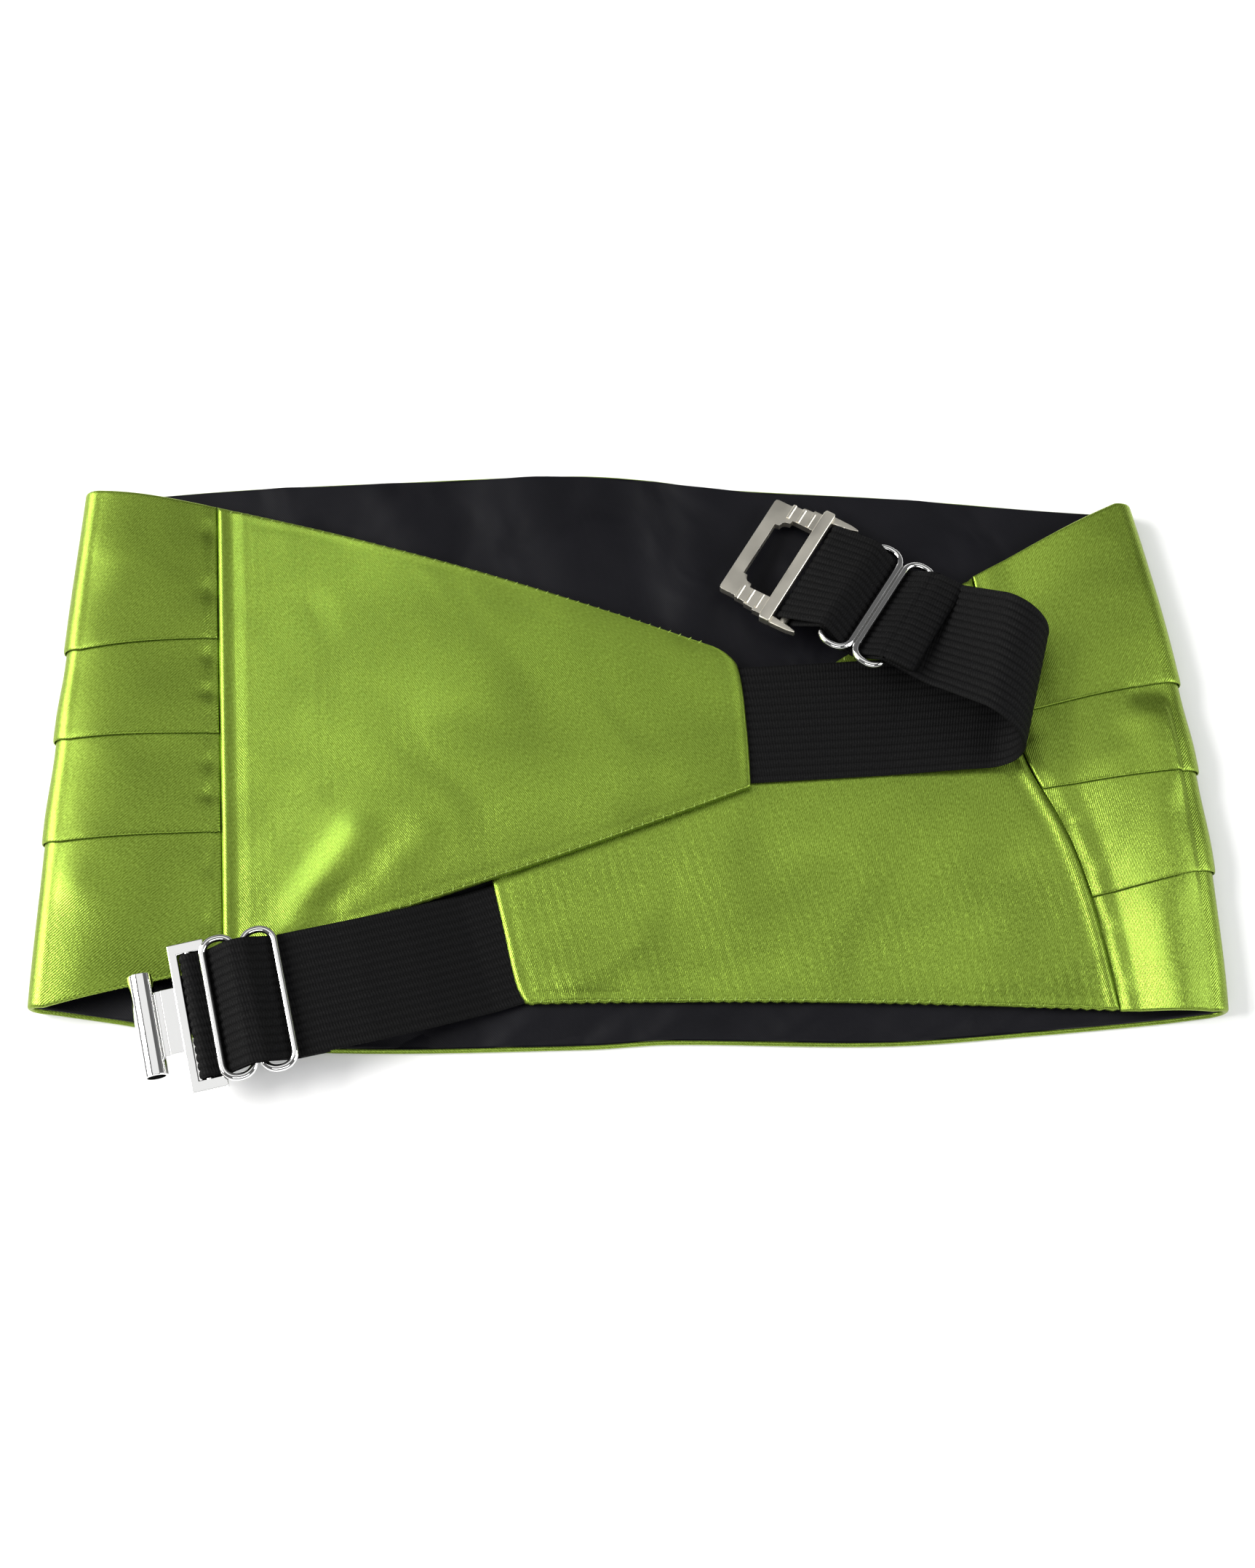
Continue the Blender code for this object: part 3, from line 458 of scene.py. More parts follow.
def make_front(material, strength):
    """The pleated satin, from one seam round both folds to the other."""
    stations = front_stations()
    outer = []
    inner = []
    for station in stations:
        kind, side, value = station
        outer_row = []
        inner_row = []
        reached = 0.0
        for share, wall, left in pleated_columns(station):
            reached = max(reached + 1e-6, share)
            point, outward = front_point(share, station)
            back, back_outward = front_point(min(reached, 1.0), station)
            if kind == "flap":
                distance = (1 - value) * FLAP_RUN
                dip = seam_dip(side, share, distance)
                wall = max(wall - dip, LEAST_SATIN)
                left = min(left, rounding(distance, FLAP_EDGE_RADIUS))
            outer_row.append(point + outward * wall * (0.5 + 0.5 * left))
            inner_row.append(back + back_outward * wall * (0.5 - 0.5 * left))
        outer.append(outer_row)
        inner.append(inner_row)
    outer = np.array(outer, float)
    inner = np.array(inner, float)
    on_top = np.array([station[0] == "flap" for station in stations], float)[:, None]
    outer[..., 2] += relief(outer, FLAP_CREASES, strength) * on_top
    inner[..., 2] += relief(inner, FLAP_CREASES, strength) * on_top
    mesh = cloth_mesh("pleated_front", outer, inner, cloth_layout(outer))
    mesh.materials.append(material)
    return new_object("pleated_front", mesh)


LINING_INSET = 0.8
LINING_SPACING = 1.7
LINING_EDGE_RADIUS = 0.5


def make_lining(material, strength):
    """The lining, a little inside the satin all the way round, with its creases where it lies flat."""
    distances = edge_steps(FRONT_HEIGHT - 2 * LINING_INSET, ROUND_EDGE, ROUND_EDGE, LINING_SPACING)
    outer = []
    inner = []
    stations = front_stations()
    for station in stations:
        outer_row = []
        inner_row = []
        for distance in distances:
            share = (distance + LINING_INSET) / FRONT_HEIGHT
            point, outward = front_point(share, station)
            left = rounding(min(distance, distances[-1] - distance), LINING_EDGE_RADIUS)
            middle = point - outward * (SEAM_GAP + LINING_WALL / 2)
            outer_row.append(middle + outward * LINING_WALL / 2 * left)
            inner_row.append(middle - outward * LINING_WALL / 2 * left)
        outer.append(outer_row)
        inner.append(inner_row)
    outer = np.array(outer, float)
    inner = np.array(inner, float)
    resting = np.array([station[0] == "flat" for station in stations], float)[:, None]
    inner[..., 2] += relief(inner, LINING_CREASES, strength) * resting
    mesh = cloth_mesh("lining", outer, inner, cloth_layout(inner))
    mesh.materials.append(material)
    return new_object("lining", mesh)


# ---------------------------------------------------------------- the wings

WING_LENGTH = 130.0
WING_SPACING = 1.3
WING_COLUMNS = 74
WING_EDGE_RADIUS = 1.1
WING_SEAM_RADIUS = 0.9

# The scallops between the stitches of a wing's far and near edges: pitch, where the first one starts.
SCALLOP_FAR = (2.8, 0)
SCALLOP_NEAR = (2.7, 1)
SCALLOP_REACH = 2.0
SCALLOP_DEPTHS = {"left": (0.12, 0.16), "right": (0.32, 0.42)}

# The satin rolls up and sinks beside a seam, and sinks beside its edges: height, distance, width.
SEAM_ROLLS = [(0.35, 1.4, 1.0), (-0.22, 3.8, 1.3)]
EDGE_GROOVE = (0.12, 2.6, 0.9)
GROOVE_FROM_SEAM = 3.0


def scallop(distance, pitch, depth):
    """How far an edge is drawn in between stitches."""
    return depth * (0.5 - 0.5 * math.cos(2 * math.pi * distance / pitch))


def wing_point(side, share, step):
    """A point of the wing's middle plane at a share from its far edge and a step from its seam."""
    far_bow, near_bow = WING_BOW[side]
    seam = seam_point(side, share)
    tip = Vector((*along(WING_TIPS[side], min(max(share, 0.0), 1.0)), 0))
    run = seam_point(side, share + 0.01) - seam_point(side, share - 0.01)
    across = run.cross(Vector((0, 0, 1))).normalized()
    if across.dot(tip - seam) < 0:
        across.negate()
    bow = blend(far_bow, near_bow, share) * 4 * step * (1 - step)
    point = (seam + across * 0.1).lerp(tip, step) - run.normalized() * bow
    rise_from, rise_to, rise = WING_RISE[side]
    point.z = WING_FLOOR + WING_WALL / 2 + rise * ease((step - rise_from) / (rise_to - rise_from))
    return point


def wing_chord(side, step):
    """From the far to the near edge of a wing at a step from its seam."""
    return wing_point(side, 1.0, step) - wing_point(side, 0.0, step)


def make_wing(side, material, strength):
    """A wing's wall, its edges drawn in between stitches and its seam rolled."""
    far_depth, near_depth = SCALLOP_DEPTHS[side]
    top = []
    bottom = []
    for from_seam in edge_steps(WING_LENGTH, ROUND_EDGE, ROUND_EDGE, WING_SPACING):
        step = from_seam / WING_LENGTH
        chord = wing_chord(side, step)
        width = chord.length
        middle = width - 2 * ROUND_EDGE[-1]
        distances = [*ROUND_EDGE]
        distances += [ROUND_EDGE[-1] + middle * i / WING_COLUMNS for i in range(1, WING_COLUMNS)]
        distances += [width - d for d in reversed(ROUND_EDGE)]
        top_row = []
        bottom_row = []
        for distance in distances:
            from_near = width - distance
            drawn_far = scallop(from_seam + SCALLOP_FAR[1], SCALLOP_FAR[0], far_depth)
            drawn_far *= max(1 - distance / SCALLOP_REACH, 0)
            drawn_near = scallop(from_seam + SCALLOP_NEAR[1], SCALLOP_NEAR[0], near_depth)
            drawn_near *= max(1 - from_near / SCALLOP_REACH, 0)
            point = wing_point(side, distance / width, step) + chord.normalized() * (drawn_far - drawn_near)
            nearest = min(distance, from_near, WING_LENGTH - from_seam)
            left = min(rounding(nearest, WING_EDGE_RADIUS), rounding(from_seam, WING_SEAM_RADIUS))
            half = WING_WALL / 2 * left
            crown = sum(height * hump(from_seam, place, spread) for height, place, spread in SEAM_ROLLS)
            depth, place, spread = EDGE_GROOVE
            crown -= depth * hump(nearest, place, spread) * (1 - hump(from_seam, 0, GROOVE_FROM_SEAM))
            top_row.append(point + Vector((0, 0, half + crown * left)))
            bottom_row.append(point - Vector((0, 0, half)))
        top.append(top_row)
        bottom.append(bottom_row)
    top = np.array(top, float)
    bottom = np.array(bottom, float)
    lift = relief(top, WING_CREASES[side], strength)
    top[..., 2] += lift
    bottom[..., 2] += np.maximum(lift, 0) * 0.5
    name = "wing_" + side + "_satin"
    mesh = cloth_mesh(name, top, bottom, cloth_layout(top))
    mesh.materials.append(material)
    return new_object(name, mesh)


# ---------------------------------------------------------------- the elastic straps

# A slide lies with its bars across the strap; a layer is the middle of the elastic over or under its bars.
SLIDE_LENGTH = 36.0
SLIDE_WIDTH = 19.2
WIRE = 1.8
SLIDE_CORNER = 3.6
CROSSBAR_RADIUS = 1.0
OUTER_BAR = (SLIDE_WIDTH - WIRE) / 2
MIDDLE_BAR = WIRE / 2 - 0.05
NEAR_LAYER = WIRE / 2 + SEAM_GAP + ELASTIC_WALL / 2
FAR_LAYER = NEAR_LAYER + ELASTIC_WALL + SEAM_GAP
WRAP = CROSSBAR_RADIUS + SEAM_GAP + ELASTIC_WALL / 2
TAB_LENGTH = 16.5
TAB_LIFT = 0.6
TAB_HEM = 8.0
TAB_HEM_RISE = 0.48
TAB_HEM_STEP = 0.5
TAB_STITCHES = TAB_HEM + 0.4
TAB_STITCH_SINK = 0.3
TAB_STITCH_WIDTH = 0.7

# The elastic's mesh and ribs: points across a rib, the longest step along it, how round a rib is, and how
# much of the wall is left at its edges, which stand in by a little.
POINTS_A_RIB = 6
LONGEST_STEP = 1.4
RIB_ROUNDNESS = 0.55
STRAP_EDGE = 0.45
EDGE_INSET = 0.03

# Each strap's run: where it starts and heads, how it climbs, and where its slide and crossbar are along it.
HOOK_STRAP = {
    "start": (-30.6, -41.1), "climb": [(-5, 0), (0, 0), (6, 0.3), (20, 3.5), (34, 5.6)],
    "start_height": WING_FLOOR + WING_WALL / 2, "start_heading": 198.0, "end_heading": 193.0,
    "slide_at": 61.2, "slide_height": 12.8, "crossbar": (12.3, -2.35),
}
BUCKLE_STRAP = {
    "start": (30.3, 15.1), "start_height": UPPER_WING_FLOOR + ELASTIC_WALL / 2, "start_heading": 3.5,
    "fold_heading": 76.5, "loop_edge": 93.0, "loop_radius": 7.8, "loop_steps": 36,
    "rise_from": 62.0, "rise_to": 80.0, "rise": 1.2, "settle_at": 64.2, "settle_radius": 9.0,
    "settle_steps": 8, "slide_height": 10.6, "slide_at": 126.0, "threaded_from": 13.0,
    "crossbar": (18.4, 2.6), "hardware_tilt": 5.0, "roll_at_slide": 14.0, "roll_at_buckle": 6.0,
}


# The hook's strap turns up to this far before its slide, in this many steps.
BEND_END = 14
BEND_STEPS = 24

# The buckle's strap starts this far inside the wing.
TUCKED_IN = 5.0


def belt(stops, arc_step=9):
    """The middle line of a belt in its side view, round a list of bars.

    A stop is (distance, height, reach): reach is how far the belt's middle passes from the bar's
    centre, positive where the bar is to the left of the belt's way and negative where it is to the
    right. A stop with reach 0 is a point that the belt passes through. A fourth value sets in how
    many steps the belt goes round. Gives (distance, height, heading) for each point, in degrees.
    """
    runs = []
    for (x1, y1, r1, *_), (x2, y2, r2, *_) in zip(stops, stops[1:]):
        gap = math.hypot(x2 - x1, y2 - y1)
        heading = math.atan2(y2 - y1, x2 - x1) - math.asin((r2 - r1) / gap)
        left = (-math.sin(heading), math.cos(heading))
        start = (x1 - r1 * left[0], y1 - r1 * left[1])
        end = (x2 - r2 * left[0], y2 - r2 * left[1])
        runs.append((heading, start, end))
    line = [(*runs[0][1], math.degrees(runs[0][0]))]
    for i, (heading, _, end) in enumerate(runs):
        line.append((*end, math.degrees(heading)))
        if i + 1 == len(runs):
            break
        x, y, reach, *set_steps = stops[i + 1]
        if reach == 0:
            continue
        way = math.copysign(1, reach)
        turn = way * ((way * (runs[i + 1][0] - heading) + 0.001) % (2 * math.pi) - 0.001)
        steps = set_steps[0] if set_steps else max(1, math.ceil(abs(math.degrees(turn)) / arc_step))
        for k in range(1, steps + 1):
            angle = heading + turn * k / steps
            line.append((x + reach * math.sin(angle), y - reach * math.cos(angle), math.degrees(angle)))
    return line


def threaded_belt(crossbar, before):
    """The elastic's side view from before the slide, through it, round the crossbar and back through it."""
    return belt([
        *before,
        (-OUTER_BAR, 0, NEAR_LAYER),
        (-MIDDLE_BAR, 0, -FAR_LAYER),
        (MIDDLE_BAR, 0, -FAR_LAYER),
        (OUTER_BAR, 0, NEAR_LAYER),
        (*crossbar, -WRAP),
        (OUTER_BAR, 0, -FAR_LAYER),
        (MIDDLE_BAR, 0, NEAR_LAYER),
        (-MIDDLE_BAR, 0, NEAR_LAYER),
        (-OUTER_BAR, 0, -FAR_LAYER),
        (-TAB_LENGTH, -FAR_LAYER - TAB_LIFT, 0),
    ])


def hook_strap_plan(distance):
    """The strap's place and heading in the plan at a distance from the slide's middle."""
    run = HOOK_STRAP
    bend_end = run["slide_at"] - BEND_END
    place = Vector((*run["start"], 0))
    travelled = distance + run["slide_at"]
    step = travelled / BEND_STEPS
    for i in range(BEND_STEPS):
        heading = blend(run["start_heading"], run["end_heading"], ease((i + 0.5) * step / bend_end))
        place = place + plan(heading) * step
    return place, blend(run["start_heading"], run["end_heading"], ease(travelled / bend_end))


def turned_up(heading, slope):
    """The direction square to a strip that climbs at a slope along a heading."""
    slope = math.radians(slope)
    return plan(heading) * -math.sin(slope) + Vector((0, 0, math.cos(slope)))


def hook_strap_places(sideways):
    """(point, outward) along the hook's strap, at a distance sideways from its middle."""
    run = HOOK_STRAP
    rest = run["start_height"] - run["slide_height"]
    before = [(distance - run["slide_at"], rest + height, 0) for distance, height in run["climb"]]
    places = []
    for distance, height, slope in threaded_belt(run["crossbar"], before):
        middle, heading = hook_strap_plan(distance)
        point = middle + plan(heading + 90) * sideways
        point.z = run["slide_height"] + height
        places.append((point, turned_up(heading, slope)))
    return places


def loop_line():
    """The loop's side view, seen along its fold: out along the wing, up, over and back down."""
    run = BUCKLE_STRAP
    radius = run["loop_radius"]
    start = Vector((*run["start"], 0)).dot(plan(run["fold_heading"] - 90))
    low = run["start_height"]
    loop_centre = (run["loop_edge"] - ELASTIC_WALL / 2 - radius, low + run["rise"] + radius)
    level = run["slide_height"] + NEAR_LAYER
    return belt([
        (start, low, 0),
        (run["rise_from"], low, 0),
        (run["rise_to"], low + run["rise"], 0),
        (*loop_centre, radius, run["loop_steps"]),
        (run["settle_at"], level + run["settle_radius"], -run["settle_radius"], run["settle_steps"]),
        (run["settle_at"] - run["settle_radius"], level, 0),
    ])


def loop_places(sideways):
    """The strap from the wing's tip to where it lies level again before the slide."""
    run = BUCKLE_STRAP
    line = loop_line()
    across = plan(run["fold_heading"] - 90)
    along_fold = plan(run["fold_heading"])
    skew = math.radians(run["start_heading"] - run["fold_heading"] + 90)
    origin = Vector((*run["start"], 0)).dot(along_fold)
    first, height, _ = line[0]
    square = along_fold * (origin + sideways * math.cos(skew)) + across * (first - sideways * math.sin(skew))
    square += Vector((0, 0, height))
    back = plan(run["start_heading"]) * -TUCKED_IN
    places = [(square + back, Vector((0, 0, 1)), 0.0), (square, Vector((0, 0, 1)), 0.0)]
    length = 0.0
    folded_at = None
    before = line[0]
    for distance, height, slope in line[1:]:
        length += math.hypot(distance - before[0], height - before[1])
        before = (distance, height)
        if folded_at is None and slope > 90:
            folded_at = length
        shift = origin + length * math.tan(skew) + sideways / math.cos(skew)
        point = along_fold * shift + across * distance + Vector((0, 0, height))
        past_fold = 0.0 if folded_at is None else length - folded_at
        places.append((point, turned_up(run["fold_heading"] - 90, slope), past_fold))
    places.pop()
    return places, length, before[0]


def buckle_strap_plan(distance):
    """The strap's place at a distance from the slide's middle, past the loop, and its heading."""
    run = BUCKLE_STRAP
    across = plan(run["fold_heading"] - 90)
    along_fold = plan(run["fold_heading"])
    skew = math.radians(run["start_heading"] - run["fold_heading"] + 90)
    _, length, last = loop_places(0)
    travelled = run["slide_at"] + distance
    origin = Vector((*run["start"], 0)).dot(along_fold)
    place = along_fold * (origin + travelled * math.sin(skew))
    place += across * (last + length - travelled * math.cos(skew))
    return place, 2 * run["fold_heading"] - run["start_heading"]


def roll_past_slide(distance):
    """How far the strap has rolled, far side down, at a distance past the slide's middle."""
    run = BUCKLE_STRAP
    free = run["crossbar"][0] - OUTER_BAR - 2 * WRAP
    return blend(run["roll_at_slide"], run["roll_at_buckle"], ease((distance - OUTER_BAR) / free))


def rolled(point, outward, roll):
    """A point of the strap and its outward direction, rolled about the line that the strap runs along."""
    centre, heading = buckle_strap_plan(0)
    centre.z = BUCKLE_STRAP["slide_height"]
    turn = Matrix.Rotation(math.radians(roll), 3, plan(heading))
    return centre + turn @ (point - centre), turn @ outward


def buckle_strap_places(sideways):
    """(point, outward) along the buckle's strap, at a distance sideways from its middle."""
    run = BUCKLE_STRAP
    places = []
    loop, _, _ = loop_places(sideways)
    for point, outward, past_fold in loop:
        places.append(rolled(point, outward, run["roll_at_slide"] * ease(past_fold / loop[-1][2])))
    before = [(-run["threaded_from"], -NEAR_LAYER, 0)]
    start, heading = buckle_strap_plan(0)
    step = plan(heading)
    for distance, height, slope in threaded_belt(run["crossbar"], before):
        point = start + step * distance - plan(heading + 90) * sideways
        point.z = run["slide_height"] - height
        places.append(rolled(point, -turned_up(heading, -slope), roll_past_slide(distance)))
    return places


def filled_in(points, outwards, longest):
    """Rows of points and directions, with rows added where they are further apart than longest."""
    gaps = np.linalg.norm(np.diff(points, axis=0), axis=-1).max(1)
    new_points = [points[0]]
    new_outwards = [outwards[0]]
    for i, gap in enumerate(gaps):
        parts = max(1, math.ceil(gap / longest))
        for k in range(1, parts + 1):
            new_points.append(blend(points[i], points[i + 1], k / parts))
            direction = blend(outwards[i], outwards[i + 1], k / parts)
            new_outwards.append(direction / np.linalg.norm(direction, axis=-1, keepdims=True))
    return np.array(new_points), np.array(new_outwards)


def make_strap(name, places, ribs, material, rib_depth):
    """A strip of elastic: a plain wall whose ribs are then pressed in along it."""
    columns = ribs * POINTS_A_RIB
    half = ELASTIC_WIDTH / 2
    across = [half - ELASTIC_WIDTH * i / columns for i in range(columns + 1)]
    across = [half - EDGE_INSET, *across[1:-1], EDGE_INSET - half]
    lines = [places(sideways) for sideways in across]
    points = np.array([[line[i][0] for line in lines] for i in range(len(lines[0]))], float)
    outwards = np.array([[line[i][1] for line in lines] for i in range(len(lines[0]))], float)
    points, outwards = filled_in(points, outwards, LONGEST_STEP)
    lengths = np.linalg.norm(np.diff(points[:, columns // 2], axis=0), axis=-1)
    from_end = np.cumsum(lengths[::-1])[::-1]
    from_end = np.append(from_end, 0.0)
    wall = np.full(points.shape[:2], ELASTIC_WALL / 2)
    wall[:, 0] *= STRAP_EDGE
    wall[:, -1] *= STRAP_EDGE
    hem = np.array([TAB_HEM_RISE * ease((TAB_HEM - distance) / TAB_HEM_STEP) for distance in from_end])
    rows = [hump(distance, TAB_STITCHES, TAB_STITCH_WIDTH) for distance in from_end]
    sunk = TAB_STITCH_SINK * np.array(rows)
    wall += (hem - sunk)[:, None]
    wall[-1] *= 0.5
    outer = points + outwards * wall[..., None]
    inner = points - outwards * wall[..., None]
    mesh = cloth_mesh(name, outer, inner, cloth_layout(points))
    sideways = np.tile(np.array(across), (points.shape[0], 1)).ravel() * MM
    ribbed = mesh.attributes.new("across", "FLOAT", "POINT")
    ribbed.data.foreach_set("value", np.tile(sideways, 2).astype(np.float32))
    direction = np.concatenate([outwards.reshape(-1, 3), -outwards.reshape(-1, 3)])
    outward = mesh.attributes.new("outward", "FLOAT_VECTOR", "POINT")
    outward.data.foreach_set("vector", direction.astype(np.float32).ravel())
    made = new_object(name, mesh)
    values = {"Rib Pitch": ELASTIC_WIDTH * MM / ribs, "Rib Depth": rib_depth, "Material": material}
    return run_tree(made, ribbed_elastic_tree(), values)


# ---------------------------------------------------------------- Geometry Nodes


def new_tree(name, sockets):
    """A Geometry Nodes tree with a geometry going in and out and the given inputs."""
    tree = bpy.data.node_groups.new(name, "GeometryNodeTree")
    tree.interface.new_socket("Geometry", in_out="INPUT", socket_type="NodeSocketGeometry")
    for label, kind, default in sockets:
        socket = tree.interface.new_socket(label, in_out="INPUT", socket_type=kind)
        if default is not None:
            socket.default_value = default
    tree.interface.new_socket("Geometry", in_out="OUTPUT", socket_type="NodeSocketGeometry")
    return tree


def node(tree, kind, inputs=None, **settings):
    """A node with its settings made and its inputs linked or filled in."""
    made = tree.nodes.new(kind)
    for label, value in settings.items():
        setattr(made, label, value)
    for label, value in (inputs or {}).items():
        if isinstance(value, bpy.types.NodeSocket):
            tree.links.new(value, made.inputs[label])
        else:
            made.inputs[label].default_value = value
    return made


def math_node(tree, operation, *values):
    """The result of a Math node on linked or plain values."""
    return node(tree, "ShaderNodeMath", dict(enumerate(values)), operation=operation).outputs[0]


def finish_tree(tree, geometry, material):
    """Ends a tree with its instances made real and its material set."""
    real = node(tree, "GeometryNodeRealizeInstances", {"Geometry": geometry})
    painted = node(tree, "GeometryNodeSetMaterial", {"Geometry": real.outputs[0], "Material": material})
    node(tree, "NodeGroupOutput", {"Geometry": painted.outputs[0]})
    return tree


def evaluated(made):
    """The plain mesh object that an object's modifiers make of it, which takes that object's name."""
    graph = bpy.context.evaluated_depsgraph_get()
    mesh = bpy.data.meshes.new_from_object(made.evaluated_get(graph))
    name = made.name
    bpy.data.objects.remove(made, do_unlink=True)
    mesh.name = name
    return new_object(name, mesh)


def run_tree(made, tree, values):
    """The plain mesh object that a tree makes of an object, which takes that object's name."""
    modifier = made.modifiers.new(tree.name, "NODES")
    modifier.node_group = tree
    for item in tree.interface.items_tree:
        if item.in_out == "INPUT" and item.name in values:
            modifier[item.identifier] = values[item.name]
    result = evaluated(made)
    result.data.shade_smooth()
    return result


def ribbed_elastic_tree():
    """Presses lengthwise grooves into both faces of a strap, so that ribs stand between them."""
    found = bpy.data.node_groups.get("Ribbed Elastic")
    if found:
        return found
    tree = new_tree("Ribbed Elastic", [
        ("Rib Pitch", "NodeSocketFloat", 0.002),
        ("Rib Depth", "NodeSocketFloat", 0.0002),
        ("Material", "NodeSocketMaterial", None),
    ])
    start = node(tree, "NodeGroupInput")
    across = node(tree, "GeometryNodeInputNamedAttribute", {"Name": "across"}, data_type="FLOAT")
    outward = node(tree, "GeometryNodeInputNamedAttribute", {"Name": "outward"}, data_type="FLOAT_VECTOR")
    turns = math_node(tree, "DIVIDE", across.outputs["Attribute"], start.outputs["Rib Pitch"])
    wave = math_node(tree, "COSINE", math_node(tree, "MULTIPLY", turns, math.pi))
    rounded = math_node(tree, "POWER", math_node(tree, "ABSOLUTE", wave), RIB_ROUNDNESS)
    groove = math_node(tree, "SUBTRACT", rounded, 1.0)
    depth = math_node(tree, "MULTIPLY", groove, start.outputs["Rib Depth"])
    offset = node(
        tree, "ShaderNodeVectorMath", {0: outward.outputs["Attribute"], "Scale": depth}, operation="SCALE"
    )
    moved = node(
        tree, "GeometryNodeSetPosition", {"Geometry": start.outputs["Geometry"], "Offset": offset.outputs[0]}
    )
    return finish_tree(tree, moved.outputs[0], start.outputs["Material"])


# The stitches along a wing's edges: how far in, how high over its middle, and which share they run over.
EDGE_LINE_INSET = 0.9
EDGE_LINE_HEIGHT = 0.9
EDGE_LINE_FROM = 0.03
EDGE_LINE_RUN = 0.94
EDGE_LINE_POINTS = 60

# The stitches across the end of a strap: half their length.
TAB_LINE_HALF = 14.4
TAB_LINE_POINTS = 24


def stitch_row_tree():
    """Lays short round stitches end to end along a line, each a little different."""
    found = bpy.data.node_groups.get("Stitch Row")
    if found:
        return found
    tree = new_tree("Stitch Row", [
        ("Spacing", "NodeSocketFloat", 0.0025),
        ("Stitch Length", "NodeSocketFloat", 0.0019),
        ("Thread Width", "NodeSocketFloat", 0.0004),
        ("Slant", "NodeSocketFloat", 0.0),
        ("Seed", "NodeSocketInt", 3),
        ("Material", "NodeSocketMaterial", None),
    ])
    start = node(tree, "NodeGroupInput")
    points = node(
        tree, "GeometryNodeCurveToPoints",
        {"Curve": start.outputs["Geometry"], "Length": start.outputs["Spacing"]}, mode="LENGTH",
    )
    bead = node(tree, "GeometryNodeMeshUVSphere", {"Segments": 8, "Rings": 6, "Radius": 0.5})
    smooth = node(tree, "GeometryNodeSetShadeSmooth", {"Geometry": bead.outputs["Mesh"]})
    size = node(tree, "ShaderNodeCombineXYZ", {
        "X": start.outputs["Stitch Length"],
        "Y": start.outputs["Thread Width"], "Z": start.outputs["Thread Width"],
    })
    facing = node(
        tree, "FunctionNodeAlignRotationToVector", {"Vector": points.outputs["Tangent"]}, axis="X",
    )
    wobble = node(
        tree, "FunctionNodeRandomValue", {"Min": -0.12, "Max": 0.12, "Seed": start.outputs["Seed"]},
        data_type="FLOAT",
    )
    turn = math_node(tree, "ADD", start.outputs["Slant"], wobble.outputs["Value"])
    angles = node(tree, "ShaderNodeCombineXYZ", {"Z": turn})
    turned = node(tree, "FunctionNodeEulerToRotation", {"Euler": angles.outputs[0]})
    rotation = node(
        tree, "FunctionNodeRotateRotation",
        {"Rotation": facing.outputs[0], "Rotate By": turned.outputs[0]}, rotation_space="LOCAL",
    )
    placed = node(tree, "GeometryNodeInstanceOnPoints", {
        "Points": points.outputs["Points"], "Instance": smooth.outputs[0],
        "Rotation": rotation.outputs[0], "Scale": size.outputs[0],
    })
    return finish_tree(tree, placed.outputs[0], start.outputs["Material"])


def wing_edge_lines(side):
    """The lines of stitches along a wing's far and near edges."""
    lines = []
    for share, inset in ((0.0, EDGE_LINE_INSET), (1.0, -EDGE_LINE_INSET)):
        line = []
        for i in range(EDGE_LINE_POINTS):
            step = EDGE_LINE_FROM + EDGE_LINE_RUN * i / (EDGE_LINE_POINTS - 1)
            point = wing_point(side, share + inset / wing_chord(side, step).length, step)
            line.append((point.x, point.y, point.z + EDGE_LINE_HEIGHT))
        lines.append(line)
    return lines


def tab_line(places):
    """The line of stitches across the end of a strap, on its inner side."""
    line = []
    for i in range(TAB_LINE_POINTS):
        sideways = TAB_LINE_HALF - 2 * TAB_LINE_HALF * i / (TAB_LINE_POINTS - 1)
        strip = places(sideways)
        before = strip[-2][0]
        end, outward = strip[-1][:2]
        point = end + (before - end).normalized() * TAB_STITCHES - outward * (ELASTIC_WALL / 2)
        line.append(tuple(point))
    return line


def make_stitches(name, lines, values):
    """One mesh of stitches along several lines of points in millimetres."""
    curve = bpy.data.curves.new(name, "CURVE")
    curve.dimensions = "3D"
    for line in lines:
        spline = curve.splines.new("POLY")
        spline.points.add(len(line) - 1)
        for point, place in zip(spline.points, line):
            point.co = (*((np.array(place) - MIDDLE) * MM), 1)
    return run_tree(new_object(name, curve), stitch_row_tree(), values)


# ---------------------------------------------------------------- the metal fittings


def rounded_loop(low, high, half_length, corner, steps=4):
    """The plan of a loop: a rectangle from low to high across, its corners round."""
    centres = [(high - corner, half_length - corner, 0), (low + corner, half_length - corner, 90)]
    centres += [(low + corner, corner - half_length, 180), (high - corner, corner - half_length, 270)]
    points = []
    for x, y, first in centres:
        for i in range(steps + 1):
            offset = plan(first + 90 * i / steps) * corner
            points.append((x + offset.x, y + offset.y))
    return points


def mesh_of(curve_object, matrix):
    """The welded mesh of a curve, put in place and its curve removed."""
    graph = bpy.context.evaluated_depsgraph_get()
    mesh = bpy.data.meshes.new_from_object(curve_object.evaluated_get(graph))
    bm = bmesh.new()
    bm.from_mesh(mesh)
    bmesh.ops.remove_doubles(bm, verts=bm.verts[:], dist=0.00001)
    bmesh.ops.recalc_face_normals(bm, faces=bm.faces[:])
    bm.transform(matrix)
    bm.to_mesh(mesh)
    bm.free()
    bpy.data.objects.remove(curve_object, do_unlink=True)
    return mesh


